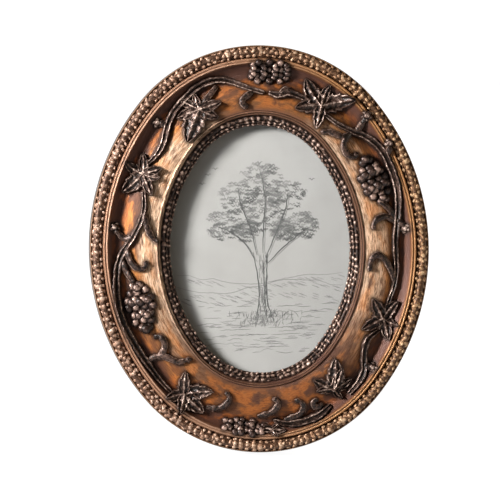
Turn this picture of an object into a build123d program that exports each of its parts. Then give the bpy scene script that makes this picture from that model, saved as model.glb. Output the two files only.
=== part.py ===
from build123d import *
import os
from math import atan, atan2, cos, degrees, radians, sin, sqrt, tan

# An oval table-top picture frame, in millimetres, with a grapevine in relief round its moulding.
# The face leans back on an easel leg. The origin is on the table, at the middle of the space that
# the standing frame takes up, with X across the face, Y to the back and Z up.
# Across the moulding, places are measured inward from the outer edge, and heights from the back.

# Oval outline, square to the face
OUTER_WIDTH = 230.0
OUTER_HEIGHT = 275.0
FACE_WIDTH = 54.0
# The top and bottom arcs' radius is the half width times this power of width over height
END_ROUND_POWER = 0.6423

# Pose: lean of the face from upright, and opening of the leg from the back, in degrees
LEAN = 14.0
LEG_OPENING = 25.0

# Moulding, from the outer edge to the sight edge
EDGE_DRAFT = 2.0
EDGE_HEIGHT = 14.0
OUTER_BEAD_WIDTH = 7.0
OUTER_GROOVE_WIDTH = 1.0
FILLET_WIDTH = 3.6
FILLET_HEIGHT = 16.2
COVE_WIDTH = 11.4
COVE_BOW = 2.25
COVE_RIM_HEIGHT = 15.4
COVE_END_HEIGHT = 12.2
SWELL_END_HEIGHT = 15.0
RIDGE_WIDTH = 2.0
RIDGE_HEIGHT = 16.0
SIGHT_GROOVE_WIDTH = 1.0
SIGHT_SEAT_HEIGHT = 13.8
SIGHT_BEAD_WIDTH = 6.0
SIGHT_BEAD_BOW = 2.2
SIGHT_EDGE_HEIGHT = 10.4
RABBET_LIP = 3.2

# Relief ornament
LEAF_RELIEF = 3.2
STEM_RELIEF = 2.7
STEM_WIDTH = 4.6
TENDRIL_RELIEF = 2.1
TENDRIL_WIDTH = 2.8
LEAF_LENGTH = 30.0
BOTTOM_LEAF_LENGTH = 21.0
BOTTOM_LEAF_WIDTH = 9.0
BOTTOM_LEAF_HEADING = -86.0
BOTTOM_LEAF_GAP = 2.0
GRAPE_RADIUS = 3.3
SMALL_GRAPE_RADIUS = 2.4
BUD_RADIUS = 2.9
ORNAMENT_GAP = 0.1

# Glazing package in the rabbet
GLASS_THICK = 2.0
PICTURE_THICK = 0.3
CARD_THICK = 1.5
BACKBOARD_THICK = 3.0
GLAZING_CLEARANCE = 0.4

# Turn buttons
BUTTON_WIDTH = 9.0
BUTTON_THICK = 1.0
BUTTON_ARM = 13.0
BUTTON_TAIL = 5.0
BUTTON_SETBACK = 7.0
BUTTON_GAP = 0.1
SCREW_RADIUS = 1.5
SCREW_HEAD_RADIUS = 3.0
SCREW_HEAD_HEIGHT = 1.5
SCREW_HEAD_TAPER = 25.0
SCREW_SLOT_WIDTH = 0.9
SCREW_SLOT_DEPTH = 0.7
SCREW_SLOT_TURN = 30.0
SCREW_LENGTH = 9.0

# Easel leg and its hinge
LEG_THICK = 3.6
LEG_TOP_WIDTH = 32.0
LEG_FOOT_WIDTH = 62.0
LEG_CORNER = 5.0
LEG_GAP = 0.3
HINGE_ABOVE_MIDDLE = 30.0
HINGE_SHEET = 0.8
HINGE_WIDTH = 26.0
HINGE_LEAF_HEIGHT = 18.0
HINGE_GAP = 0.4
KNUCKLE_LENGTH = 10.0
HINGE_PIN_RADIUS = 1.0
STOP_HEIGHT = 6.0
STOP_GAP = 0.1
RIVET_RADIUS = 1.2
RIVET_HEAD_RADIUS = 2.4
RIVET_HEAD_HEIGHT = 1.2
RIVET_HEAD_TAPER = 35.0
RIVET_GRIP = 2.4
RIVET_SPACING = 14.0
# Rivets from the hinge line, as a share of the leaf
RIVET_RUN_SHARE = 0.6

# Hanging ring and its strap
STRAP_WIDTH = 11.0
STRAP_HEIGHT = 21.0
STRAP_SHEET = 0.8
STRAP_BOARD_GAP = 1.2
# Strap screw below the barrel, as a share of the strap
STRAP_SCREW_SHARE = 0.45
RING_WIRE_RADIUS = 1.0
RING_WIDTH = 20.0
RING_DROP = 16.0
RING_CORNER = 3.0
# Bend at the bottom of the ring, as a share of half its width
RING_BOTTOM_SHARE = 0.94

# Radial clearance of a pin in its hole, and the overrun of cuts
PIN_CLEARANCE = 0.05
OVERRUN = 1.0

# Places on the moulding: degrees clockwise from the top, then shares of the face from the sight edge.
# A leaf also has its heading, in degrees clockwise from straight up, and its length as a share.
LEAF_SHARES = {
    "leaf_upper_right": (28.5, 0.50, -30.0, 1.0),
    "leaf_right": (114.5, 0.55, -20.0, 0.86),
    "leaf_lower_right": (147.0, 0.50, 10.0, 1.0),
    "leaf_lower_left": (212.5, 0.55, -5.0, 0.94),
    "leaf_left": (297.0, 0.52, 150.0, 0.9),
    "leaf_upper_left": (330.0, 0.43, -110.0, 1.0),
}
# Outline of one half of a leaf, from stalk to tip: across and along, as shares of its length
LEAF_OUTLINE_SHARES = (
    (0.00, -0.02),
    (0.34, -0.30),
    (0.34, -0.02),
    (0.66, 0.16),
    (0.30, 0.30),
    (0.00, 0.72),
)
LEAF_BOW_SHARE = 0.14
STEM_SHARES = {
    "vine_stem_right": (
        ((1.0, 0.50), (9.0, 0.46), (17.0, 0.51)),
        (
            (33.0, 0.44), (38.0, 0.46), (44.0, 0.53), (52.0, 0.63), (60.0, 0.68), (68.0, 0.68),
            (75.0, 0.64), (82.0, 0.61), (90.0, 0.60), (99.0, 0.62), (106.0, 0.59), (110.0, 0.55),
        ),
        ((119.0, 0.50), (123.0, 0.47), (128.0, 0.53), (133.0, 0.65), (139.0, 0.69), (145.0, 0.66)),
        ((152.0, 0.66), (158.0, 0.69), (165.0, 0.67)),
    ),
    "vine_stem_left": (
        (
            (217.0, 0.64), (223.0, 0.69), (232.0, 0.70), (243.0, 0.72), (252.0, 0.70), (260.0, 0.64),
            (267.0, 0.55), (273.0, 0.44), (279.0, 0.38), (286.0, 0.38), (291.0, 0.43),
        ),
        (
            (302.0, 0.46), (309.0, 0.46), (316.0, 0.54), (323.0, 0.63), (331.0, 0.68),
            (338.0, 0.68), (346.0, 0.62), (354.0, 0.53),
        ),
    ),
}
TENDRIL_SHARES = {
    "tendrils_right": (
        ((44.5, 0.50), (44.0, 0.42), (41.0, 0.34), (36.0, 0.28)),
        ((46.5, 0.45), (46.5, 0.34), (49.0, 0.29), (52.0, 0.33), (52.0, 0.40)),
        ((77.0, 0.60), (76.6, 0.46), (78.5, 0.36), (82.5, 0.31)),
        ((102.0, 0.58), (96.5, 0.55), (92.5, 0.46), (91.5, 0.35), (94.0, 0.27), (98.5, 0.27)),
        ((158.5, 0.66), (160.5, 0.56), (160.0, 0.46), (162.5, 0.39), (166.0, 0.40)),
        ((177.0, 0.52), (172.5, 0.49), (170.5, 0.40), (172.5, 0.31), (176.5, 0.30)),
        ((73.0, 0.46), (76.0, 0.53), (79.0, 0.61)),
    ),
    "tendrils_left": (
        ((204.0, 0.56), (198.5, 0.53), (194.5, 0.45), (194.0, 0.35), (197.5, 0.29)),
        ((231.0, 0.67), (230.5, 0.55), (227.5, 0.44), (222.5, 0.33), (220.0, 0.24)),
        ((229.8, 0.50), (231.5, 0.41), (234.5, 0.37), (237.0, 0.41), (237.0, 0.47)),
        ((268.5, 0.54), (264.5, 0.51), (262.5, 0.42), (264.0, 0.32), (267.5, 0.29)),
        ((281.0, 0.38), (277.5, 0.30), (276.0, 0.22)),
        ((274.0, 0.44), (273.5, 0.54), (274.5, 0.63)),
        ((258.5, 0.50), (262.0, 0.55), (264.5, 0.60)),
        ((356.5, 0.42), (352.5, 0.37), (351.5, 0.31), (353.5, 0.27)),
    ),
}
BUD_SHARES = ((43.5, 0.73), (56.5, 0.73), (83.5, 0.72), (130.5, 0.71), (275.0, 0.70), (314.0, 0.70))
# A bunch has its heading from stalk to tip, and the number of grapes in each row across it, where
# neighbouring rows differ by one so that the grapes lie in each other's gaps
GRAPE_SHARES = {
    "grapes_top": (3.5, 0.62, 90.0, (3, 2, 3, 2, 1), GRAPE_RADIUS),
    "grapes_right": (64.0, 0.43, -25.0, (2, 3, 4, 3, 2, 1), GRAPE_RADIUS),
    "grapes_bottom": (188.5, 0.62, -85.0, (2, 3, 2, 3, 2, 3, 2, 1), SMALL_GRAPE_RADIUS),
    "grapes_left": (249.0, 0.46, 158.0, (2, 3, 4, 3, 2, 1), GRAPE_RADIUS),
}
# Rows of grapes, side by side spacing and height of a grape's middle, as shares of its radius
GRAPE_ROW_SHARE = 1.78
GRAPE_SIDE_SHARE = 2.04
BALL_RISE_SHARE = 0.35
# Share of a stem's run that the arc at its end may take
PATH_ARC_SHARE = 0.45
BUTTON_CLOCKS = {"upper_right": 42.0, "lower_right": 138.0, "lower_left": 222.0, "upper_left": 318.0}

# Oval worked out: half sizes, arc radii and arc centres of the outer edge
half_width = OUTER_WIDTH / 2
half_height = OUTER_HEIGHT / 2
end_radius = half_width * (half_width / half_height) ** END_ROUND_POWER
end_excess = half_width**2 + half_height**2 - 2 * half_height * end_radius
side_radius = end_excess / (2 * (half_width - end_radius))
end_centre = half_height - end_radius
side_centre = side_radius - half_width
# Half turns of the side arcs and of the end arcs, in degrees
side_turn = degrees(atan(end_centre / side_centre))
end_turn = 90 - side_turn
# Each arc's centre, radius, start and turn, from the right side round by the top
oval_arcs = (
    (Vector(-side_centre, 0), side_radius, -side_turn, 2 * side_turn),
    (Vector(0, end_centre), end_radius, side_turn, 2 * end_turn),
    (Vector(side_centre, 0), side_radius, 180 - side_turn, 2 * side_turn),
    (Vector(0, -end_centre), end_radius, 180 + side_turn, 2 * end_turn),
)
sight_half_width = half_width - FACE_WIDTH
sight_half_height = half_height - FACE_WIDTH

# Places across the moulding, inward from the outer edge
bead_in = EDGE_DRAFT + OUTER_BEAD_WIDTH
fillet_out = bead_in + OUTER_GROOVE_WIDTH
fillet_in = fillet_out + FILLET_WIDTH
cove_in = fillet_in + COVE_WIDTH
seat_out = FACE_WIDTH - SIGHT_BEAD_WIDTH
ridge_in = seat_out - SIGHT_GROOVE_WIDTH
swell_in = ridge_in - RIDGE_WIDTH
rabbet_in = FACE_WIDTH - RABBET_LIP
glazing_inset = rabbet_in + GLAZING_CLEARANCE
rabbet_depth = GLASS_THICK + PICTURE_THICK + CARD_THICK + BACKBOARD_THICK

# Hinge line of the leg, up the face from the middle and behind the back
knuckle_radius = (LEG_THICK + HINGE_SHEET) / 2
hinge_behind = knuckle_radius + LEG_GAP
leg_tilt = LEG_OPENING - LEAN

# Standing pose: depth from the front of the outer bead to the back of the foot
hinge_height = (half_height + HINGE_ABOVE_MIDDLE) * cos(radians(LEAN)) - hinge_behind * sin(radians(LEAN))
hinge_depth = (half_height + HINGE_ABOVE_MIDDLE) * sin(radians(LEAN)) + hinge_behind * cos(radians(LEAN))
leg_back = LEG_THICK - knuckle_radius
foot_depth = hinge_depth + hinge_height * tan(radians(leg_tilt)) + leg_back / cos(radians(leg_tilt))
bead_middle = EDGE_DRAFT + OUTER_BEAD_WIDTH / 2
front_depth = bead_middle * sin(radians(LEAN)) - EDGE_HEIGHT * cos(radians(LEAN)) - OUTER_BEAD_WIDTH / 2
depth_middle = (foot_depth + front_depth) / 2

# The back of the frame: x across, y up the face, z out of the front
BACK = Plane(
    origin=(0, half_height * sin(radians(LEAN)) - depth_middle, half_height * cos(radians(LEAN))),
    x_dir=(1, 0, 0),
    z_dir=(0, -cos(radians(LEAN)), sin(radians(LEAN))),
)
# The leg's own plane through its hinge line: y up the leg, z out of its front
LEG = Plane(
    origin=(0, hinge_depth - depth_middle, hinge_height),
    x_dir=(1, 0, 0),
    z_dir=(0, -cos(radians(leg_tilt)), -sin(radians(leg_tilt))),
)
# Sections square to the hinge line and to the ring's barrel: x up, y out of the front
BACK_SECTION = Plane(origin=LEG.origin, x_dir=BACK.y_dir, z_dir=BACK.x_dir)
LEG_SECTION = Plane(origin=LEG.origin, x_dir=LEG.y_dir, z_dir=LEG.x_dir)
barrel_radius = RING_WIRE_RADIUS + PIN_CLEARANCE + STRAP_SHEET
strap_up = half_height - glazing_inset + STRAP_BOARD_GAP + STRAP_HEIGHT
STRAP_SECTION = Plane(
    origin=BACK.from_local_coords(Vector(0, strap_up, -barrel_radius)),
    x_dir=BACK.y_dir,
    z_dir=BACK.x_dir,
)


def on_face(clock, share):
    """Return the place on the face at a clock angle and a share of the way out from the sight edge."""
    across = (sight_half_width + share * FACE_WIDTH) * sin(radians(clock))
    up = (sight_half_height + share * FACE_WIDTH) * cos(radians(clock))
    return Vector(across, up)


def turned(place, heading, across, along):
    """Return the place that lies across and along a heading from another place on the face."""
    forward = Vector(sin(radians(heading)), cos(radians(heading)))
    return place + forward * along + Vector(forward.Y, -forward.X) * across


def bowed(start, end, bow):
    """Return the middle of a chord, moved to its left by the bow."""
    middle = (start + end) / 2
    along = (end - start).normalized()
    return middle + Vector(-along.Y, along.X) * bow


def inset_oval(inset):
    """Draw the closed oval that lies an inset inside the outer edge, in the current line."""
    for centre, radius, start, turn in oval_arcs:
        CenterArc(centre, radius - inset, start, turn)


def oval_plate(base, thick, inset):
    """Extrude an inset oval into the current part, from a height above the back."""
    with BuildSketch(BACK.offset(base)) as plate:
        with BuildLine():
            inset_oval(inset)
        make_face()
    extrude(plate.sketch, amount=thick)


def revolve_round(profile):
    """Revolve a profile round the four arcs of the oval, into the current part."""
    for centre, radius, start, turn in oval_arcs:
        pole = Plane(origin=BACK.from_local_coords(centre), x_dir=BACK.x_dir, z_dir=BACK.z_dir)
        outward = pole.from_local_coords(Vector(cos(radians(start)), sin(radians(start)))) - pole.origin
        with BuildSketch(Plane(pole.origin, x_dir=outward, z_dir=outward.cross(BACK.z_dir))) as section:
            with BuildLine():
                profile(radius)
            make_face()
        revolve(section.sketch, axis=Axis(pole.origin, BACK.z_dir), revolution_arc=turn)


def panel_curve(radius, rise):
    """Draw the cove and the swell of the panel, raised by a height."""
    rim = Vector(radius - fillet_in, COVE_RIM_HEIGHT + rise)
    turn = Vector(radius - cove_in, COVE_END_HEIGHT + rise)
    crest = Vector(radius - swell_in, SWELL_END_HEIGHT + rise)
    cove = ThreePointArc(rim, bowed(rim, turn, COVE_BOW), turn)
    swell = TangentArc(turn, crest, tangent=cove % 1)
    return cove, swell


def moulding_profile(radius):
    """Draw the section of the moulding, from the back outer corner round to the rabbet."""
    cove, swell = panel_curve(radius, 0)
    fillet_top = Vector(radius - (fillet_out + fillet_in) / 2, FILLET_HEIGHT)
    ridge_top = Vector(radius - (swell_in + ridge_in) / 2, RIDGE_HEIGHT)
    Polyline(
        swell @ 1,
        ridge_top,
        (radius - ridge_in, SIGHT_SEAT_HEIGHT),
        (radius - seat_out, SIGHT_SEAT_HEIGHT),
        (radius - FACE_WIDTH, SIGHT_EDGE_HEIGHT),
        (radius - FACE_WIDTH, rabbet_depth),
        (radius - rabbet_in, rabbet_depth),
        (radius - rabbet_in, 0),
        (radius, 0),
        (radius - EDGE_DRAFT, EDGE_HEIGHT),
        (radius - fillet_out, EDGE_HEIGHT),
    )
    ThreePointArc((radius - fillet_out, EDGE_HEIGHT), fillet_top, cove @ 0)


def outer_bead_profile(radius):
    """Draw the half round of the outer bead on its seat."""
    outside = Vector(radius - EDGE_DRAFT, EDGE_HEIGHT)
    inside = Vector(radius - bead_in, EDGE_HEIGHT)
    ThreePointArc(outside, bowed(outside, inside, -OUTER_BEAD_WIDTH / 2), inside)
    Line(inside, outside)


def sight_bead_profile(radius):
    """Draw the low round of the sight bead on its sloping seat."""
    outside = Vector(radius - seat_out, SIGHT_SEAT_HEIGHT)
    inside = Vector(radius - FACE_WIDTH, SIGHT_EDGE_HEIGHT)
    ThreePointArc(outside, bowed(outside, inside, -SIGHT_BEAD_BOW), inside)
    Line(inside, outside)


def relief_profile(radius, relief):
    """Draw the layer of a given height that lies on the cove and the swell."""
    cove, swell = panel_curve(radius, 0)
    raised_cove, raised_swell = panel_curve(radius, relief)
    Line(cove @ 0, raised_cove @ 0)
    Line(swell @ 1, raised_swell @ 1)


def panel_height(place):
    """Return the height of the panel at a place on the face."""
    from_side = Vector(abs(place.X) + side_centre, place.Y)
    from_end = Vector(place.X, abs(place.Y) - end_centre)
    at_side = degrees(atan2(abs(from_side.Y), from_side.X)) < side_turn
    inset = side_radius - from_side.length if at_side else end_radius - from_end.length
    inset = min(max(inset, fillet_in), swell_in)
    cove, swell = panel_arcs
    if inset < cove_in:
        return cove.arc_center.Y - sqrt(cove.radius**2 - (inset + cove.arc_center.X) ** 2)
    return swell.arc_center.Y + sqrt(swell.radius**2 - (inset + swell.arc_center.X) ** 2)


def round_path(places):
    """Return a path through places on the face, with arcs as large as its runs allow."""
    points = [on_face(clock, share) for clock, share in places]
    radii = []
    for before, corner, after in zip(points, points[1:], points[2:]):
        run = min((corner - before).length, (after - corner).length)
        turn = (corner - before).get_angle(after - corner)
        radii.append(PATH_ARC_SHARE * run / tan(radians(turn / 2)))
    with BuildLine() as path:
        FilletPolyline(*points, radius=radii)
    return path.wire()


def raise_balls(places, radius):
    """Add balls to the current part, seated on the panel at places on the face."""
    for place in places:
        middle = Vector(place.X, place.Y, panel_height(place) + BALL_RISE_SHARE * radius)
        with Locations(Plane(BACK.from_local_coords(middle), BACK.x_dir, BACK.z_dir)):
            Sphere(radius)
    add(ball_layer.part, mode=Mode.INTERSECT)


def pan_screw(place, seat):
    """Add a slotted pan head screw to the current part, with its head seated behind the back."""
    with BuildSketch(BACK.offset(SCREW_LENGTH)) as shank:
        with Locations(place):
            Circle(SCREW_RADIUS)
    extrude(shank.sketch, amount=-SCREW_LENGTH - seat)
    with BuildSketch(BACK.offset(-seat)) as head:
        with Locations(place):
            Circle(SCREW_HEAD_RADIUS)
    extrude(head.sketch, amount=-SCREW_HEAD_HEIGHT, taper=SCREW_HEAD_TAPER)
    with BuildSketch(BACK.offset(-seat - SCREW_HEAD_HEIGHT)) as slot:
        with Locations(place):
            Rectangle(2 * SCREW_HEAD_RADIUS, SCREW_SLOT_WIDTH, rotation=SCREW_SLOT_TURN)
    extrude(slot.sketch, amount=SCREW_SLOT_DEPTH, mode=Mode.SUBTRACT)


def domed_rivets(seat):
    """Add the pair of rivets of a hinge leaf to the current part, with heads behind a seat plane."""
    with BuildSketch(seat) as shanks:
        with GridLocations(RIVET_SPACING, 0, 2, 1):
            Circle(RIVET_RADIUS)
    extrude(shanks.sketch, amount=HINGE_SHEET + RIVET_GRIP)
    with BuildSketch(seat) as heads:
        with GridLocations(RIVET_SPACING, 0, 2, 1):
            Circle(RIVET_HEAD_RADIUS)
    extrude(heads.sketch, amount=-RIVET_HEAD_HEIGHT, taper=RIVET_HEAD_TAPER)


def clear_of(outlines):
    """Cut outlines that are already taken out of the current sketch."""
    for outline in outlines:
        add(outline, mode=Mode.SUBTRACT)


def finish(piece, name):
    """Name a finished piece and write it."""
    piece.label = name
    export_step(piece, f"parts/{name}.step")


os.makedirs("parts", exist_ok=True)
with BuildLine():
    panel_arcs = panel_curve(0, 0)

# Moulding
button_places = {}
for corner, clock in BUTTON_CLOCKS.items():
    rabbet_edge = on_face(clock, RABBET_LIP / FACE_WIDTH)
    button_places[corner] = rabbet_edge + rabbet_edge.normalized() * BUTTON_SETBACK
strap_screw_place = Vector(0, strap_up - STRAP_HEIGHT * STRAP_SCREW_SHARE)
with BuildPart() as moulding:
    revolve_round(moulding_profile)
    with BuildSketch(BACK):
        with Locations(*button_places.values(), strap_screw_place):
            Circle(SCREW_RADIUS + PIN_CLEARANCE)
    extrude(amount=SCREW_LENGTH, mode=Mode.SUBTRACT)
finish(moulding.part, "moulding")

# Beads
with BuildPart() as outer_bead:
    revolve_round(outer_bead_profile)
finish(outer_bead.part, "outer_bead")

with BuildPart() as sight_bead:
    revolve_round(sight_bead_profile)
finish(sight_bead.part, "sight_bead")

# Layers on the panel that the flat relief pieces are cut from
with BuildPart() as leaf_layer:
    revolve_round(lambda radius: relief_profile(radius, LEAF_RELIEF))
with BuildPart() as stem_layer:
    revolve_round(lambda radius: relief_profile(radius, STEM_RELIEF))
with BuildPart() as tendril_layer:
    revolve_round(lambda radius: relief_profile(radius, TENDRIL_RELIEF))
with BuildPart() as ball_layer:
    revolve_round(lambda radius: relief_profile(radius, 2 * GRAPE_RADIUS + LEAF_RELIEF))
block_height = RIDGE_HEIGHT + LEAF_RELIEF
# Outlines of the pieces that are already on the panel
taken = []

# Vine leaves: two mirrored halves of bowed edges between lobe tips and hollows
mirrored_half = [(-across, along) for across, along in reversed(LEAF_OUTLINE_SHARES[1:-1])]
leaf_outline = [*LEAF_OUTLINE_SHARES, *mirrored_half]
for name, (clock, share, heading, length_share) in LEAF_SHARES.items():
    middle = on_face(clock, share)
    length = LEAF_LENGTH * length_share
    points = [turned(middle, heading, across * length, along * length) for across, along in leaf_outline]
    with BuildPart() as leaf:
        with BuildSketch(BACK) as outline:
            with BuildLine():
                for start, end in zip(points, points[1:] + points[:1]):
                    bow = LEAF_BOW_SHARE * (end - start).length
                    ThreePointArc(start, bowed(start, end, -bow), end)
            make_face()
        extrude(amount=block_height)
        add(leaf_layer.part, mode=Mode.INTERSECT)
    finish(leaf.part, name)
    taken.append(outline.sketch_local)

# Pointed leaf at the bottom, with its tip a gap from the stalk end of the bottom bunch
clock, share, heading, rows, radius = GRAPE_SHARES["grapes_bottom"]
bunch_reach = ((len(rows) - 1) / 2 * GRAPE_ROW_SHARE + 1) * radius
tip = turned(on_face(clock, share), heading, 0, -bunch_reach - BOTTOM_LEAF_GAP)
stalk = turned(tip, BOTTOM_LEAF_HEADING, 0, -BOTTOM_LEAF_LENGTH)
with BuildPart() as leaf_bottom:
    with BuildSketch(BACK) as outline:
        with BuildLine():
            ThreePointArc(stalk, bowed(stalk, tip, -BOTTOM_LEAF_WIDTH / 2), tip)
            ThreePointArc(tip, bowed(tip, stalk, -BOTTOM_LEAF_WIDTH / 2), stalk)
        make_face()
    extrude(amount=block_height)
    add(leaf_layer.part, mode=Mode.INTERSECT)
finish(leaf_bottom.part, "leaf_bottom")
taken.append(outline.sketch_local)

# Bunches of grapes, in rows from stalk to tip, and buds beside the stems
balls = {"buds": ([on_face(clock, share) for clock, share in BUD_SHARES], BUD_RADIUS)}
for name, (clock, share, heading, rows, radius) in GRAPE_SHARES.items():
    places = []
    for row, count in enumerate(rows):
        along = (row - (len(rows) - 1) / 2) * GRAPE_ROW_SHARE * radius
        for grape in range(count):
            across = (grape - (count - 1) / 2) * GRAPE_SIDE_SHARE * radius
            places.append(turned(on_face(clock, share), heading, across, along))
    balls[name] = (places, radius)
for name, (places, radius) in balls.items():
    with BuildPart() as bunch:
        raise_balls(places, radius)
    finish(bunch.part, name)
    with BuildSketch() as outline:
        with Locations(*places):
            Circle(radius + ORNAMENT_GAP)
    taken.append(outline.sketch)

# Vine stems, then tendrils and stalks, which stop at what is already there
for names, width, layer in (
    (STEM_SHARES, STEM_WIDTH, stem_layer),
    (TENDRIL_SHARES, TENDRIL_WIDTH, tendril_layer),
):
    for name, runs in names.items():
        with BuildPart() as stems:
            with BuildSketch(BACK) as outline:
                for places in runs:
                    SlotArc(round_path(places), width)
                clear_of(taken)
            extrude(amount=block_height)
            add(layer.part, mode=Mode.INTERSECT)
        finish(stems.part, name)
        taken.append(outline.sketch_local)

# Glass, picture, filler card and backboard, from the rabbet's shoulder to the back
picture_front = rabbet_depth - GLASS_THICK
card_front = picture_front - PICTURE_THICK
with BuildPart() as glass:
    oval_plate(picture_front, GLASS_THICK, glazing_inset)
finish(glass.part, "glass")

with BuildPart() as picture:
    oval_plate(card_front, PICTURE_THICK, glazing_inset)
finish(picture.part, "picture")

with BuildPart() as filler_card:
    oval_plate(BACKBOARD_THICK, CARD_THICK, glazing_inset)
finish(filler_card.part, "filler_card")

rivet_run = HINGE_LEAF_HEIGHT * RIVET_RUN_SHARE
board_rivets = BACK.offset(-HINGE_SHEET).shift_origin(
    BACK.from_local_coords(Vector(0, HINGE_ABOVE_MIDDLE + rivet_run, -HINGE_SHEET))
)
leg_rivets = LEG.offset(-knuckle_radius).shift_origin(
    LEG.from_local_coords(Vector(0, -rivet_run, -knuckle_radius))
)
with BuildPart() as backboard:
    oval_plate(0, BACKBOARD_THICK, glazing_inset)
    with BuildSketch(board_rivets):
        with GridLocations(RIVET_SPACING, 0, 2, 1):
            Circle(RIVET_RADIUS + PIN_CLEARANCE)
    extrude(amount=HINGE_SHEET + RIVET_GRIP, mode=Mode.SUBTRACT)
finish(backboard.part, "backboard")

# Turn buttons, each on its screw
for corner, place in button_places.items():
    inward = -place.normalized()
    arm_end = place + inward * (BUTTON_ARM - BUTTON_WIDTH / 2)
    tail_end = place - inward * (BUTTON_TAIL - BUTTON_WIDTH / 2)
    with BuildLine() as arm:
        Line(arm_end, tail_end)
    with BuildPart() as turn_button:
        with BuildSketch(BACK.offset(-BUTTON_GAP)):
            SlotArc(arm.wire(), BUTTON_WIDTH)
            with Locations(place):
                Circle(SCREW_RADIUS + PIN_CLEARANCE, mode=Mode.SUBTRACT)
        extrude(amount=-BUTTON_THICK)
    finish(turn_button.part, f"turn_button_{corner}")

with BuildPart() as button_screws:
    for place in button_places.values():
        pan_screw(place, BUTTON_THICK + 2 * BUTTON_GAP)
finish(button_screws.part, "button_screws")

# Hinge leaf on the backboard: two outer knuckles and a plate, notched for the middle knuckle
half_hinge = HINGE_WIDTH / 2
half_knuckle = KNUCKLE_LENGTH / 2
knuckle_clear = knuckle_radius + HINGE_GAP
outer_spans = ((-half_hinge, -half_knuckle - HINGE_GAP), (half_knuckle + HINGE_GAP, half_hinge))
plate_middle = hinge_behind - HINGE_SHEET / 2
with BuildPart() as hinge_leaf_board:
    for start, end in outer_spans:
        with BuildSketch(BACK_SECTION.offset(start)):
            Circle(knuckle_radius)
            with Locations((HINGE_LEAF_HEIGHT / 2, plate_middle)):
                Rectangle(HINGE_LEAF_HEIGHT, HINGE_SHEET)
        extrude(amount=end - start)
    with BuildSketch(BACK_SECTION):
        with Locations(((HINGE_LEAF_HEIGHT + knuckle_clear) / 2, plate_middle)):
            Rectangle(HINGE_LEAF_HEIGHT - knuckle_clear, HINGE_SHEET)
    extrude(amount=half_hinge, both=True)
    with BuildSketch(BACK_SECTION):
        Circle(HINGE_PIN_RADIUS + PIN_CLEARANCE)
    extrude(amount=half_hinge + OVERRUN, both=True, mode=Mode.SUBTRACT)
    with BuildSketch(board_rivets):
        with GridLocations(RIVET_SPACING, 0, 2, 1):
            Circle(RIVET_RADIUS + PIN_CLEARANCE)
    extrude(amount=HINGE_SHEET, mode=Mode.SUBTRACT)
finish(hinge_leaf_board.part, "hinge_leaf_board")

with BuildPart() as hinge_pin:
    with BuildSketch(BACK_SECTION):
        Circle(HINGE_PIN_RADIUS)
    extrude(amount=half_hinge, both=True)
finish(hinge_pin.part, "hinge_pin")

with BuildPart() as rivets_board:
    domed_rivets(board_rivets)
finish(rivets_board.part, "rivets_board")

# Hinge leaf on the leg: middle knuckle, plate behind the leg, and a lip that stops on the other leaf
stop_middle = hinge_behind - HINGE_SHEET - STOP_GAP - HINGE_SHEET / 2
leg_plate_middle = HINGE_SHEET / 2 - knuckle_radius
with BuildPart() as hinge_leaf_leg:
    with BuildSketch(LEG_SECTION):
        Circle(knuckle_radius)
        with Locations((-HINGE_LEAF_HEIGHT / 2, leg_plate_middle)):
            Rectangle(HINGE_LEAF_HEIGHT, HINGE_SHEET)
    extrude(amount=half_knuckle, both=True)
    with BuildSketch(BACK_SECTION):
        with Locations((STOP_HEIGHT / 2, stop_middle)):
            Rectangle(STOP_HEIGHT, HINGE_SHEET)
    extrude(amount=half_knuckle, both=True)
    with BuildSketch(LEG_SECTION):
        with Locations((-(HINGE_LEAF_HEIGHT + knuckle_clear) / 2, leg_plate_middle)):
            Rectangle(HINGE_LEAF_HEIGHT - knuckle_clear, HINGE_SHEET)
    extrude(amount=half_hinge, both=True)
    with BuildSketch(LEG_SECTION):
        Circle(HINGE_PIN_RADIUS + PIN_CLEARANCE)
    extrude(amount=half_hinge + OVERRUN, both=True, mode=Mode.SUBTRACT)
    with BuildSketch(leg_rivets):
        with GridLocations(RIVET_SPACING, 0, 2, 1):
            Circle(RIVET_RADIUS + PIN_CLEARANCE)
    extrude(amount=HINGE_SHEET, mode=Mode.SUBTRACT)
finish(hinge_leaf_leg.part, "hinge_leaf_leg")

with BuildPart() as rivets_leg:
    domed_rivets(leg_rivets)
finish(rivets_leg.part, "rivets_leg")

# Easel leg: a board that widens to its foot, cut level with the table
leg_run = hinge_height / cos(radians(leg_tilt)) + LEG_THICK
with BuildPart() as easel_leg:
    with BuildSketch(LEG.offset(knuckle_radius - LEG_THICK)):
        with BuildLine():
            Polyline(
                (-LEG_TOP_WIDTH / 2, -knuckle_clear),
                (LEG_TOP_WIDTH / 2, -knuckle_clear),
                (LEG_FOOT_WIDTH / 2, -leg_run),
                (-LEG_FOOT_WIDTH / 2, -leg_run),
                close=True,
            )
        board = make_face()
        fillet(board.vertices().group_by(Axis.Y)[-1], LEG_CORNER)
    extrude(amount=LEG_THICK)
    split(bisect_by=Plane.XY, keep=Keep.TOP)
    with BuildSketch(leg_rivets):
        with GridLocations(RIVET_SPACING, 0, 2, 1):
            Circle(RIVET_RADIUS + PIN_CLEARANCE)
    extrude(amount=HINGE_SHEET + RIVET_GRIP, mode=Mode.SUBTRACT)
finish(easel_leg.part, "easel_leg")

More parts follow.
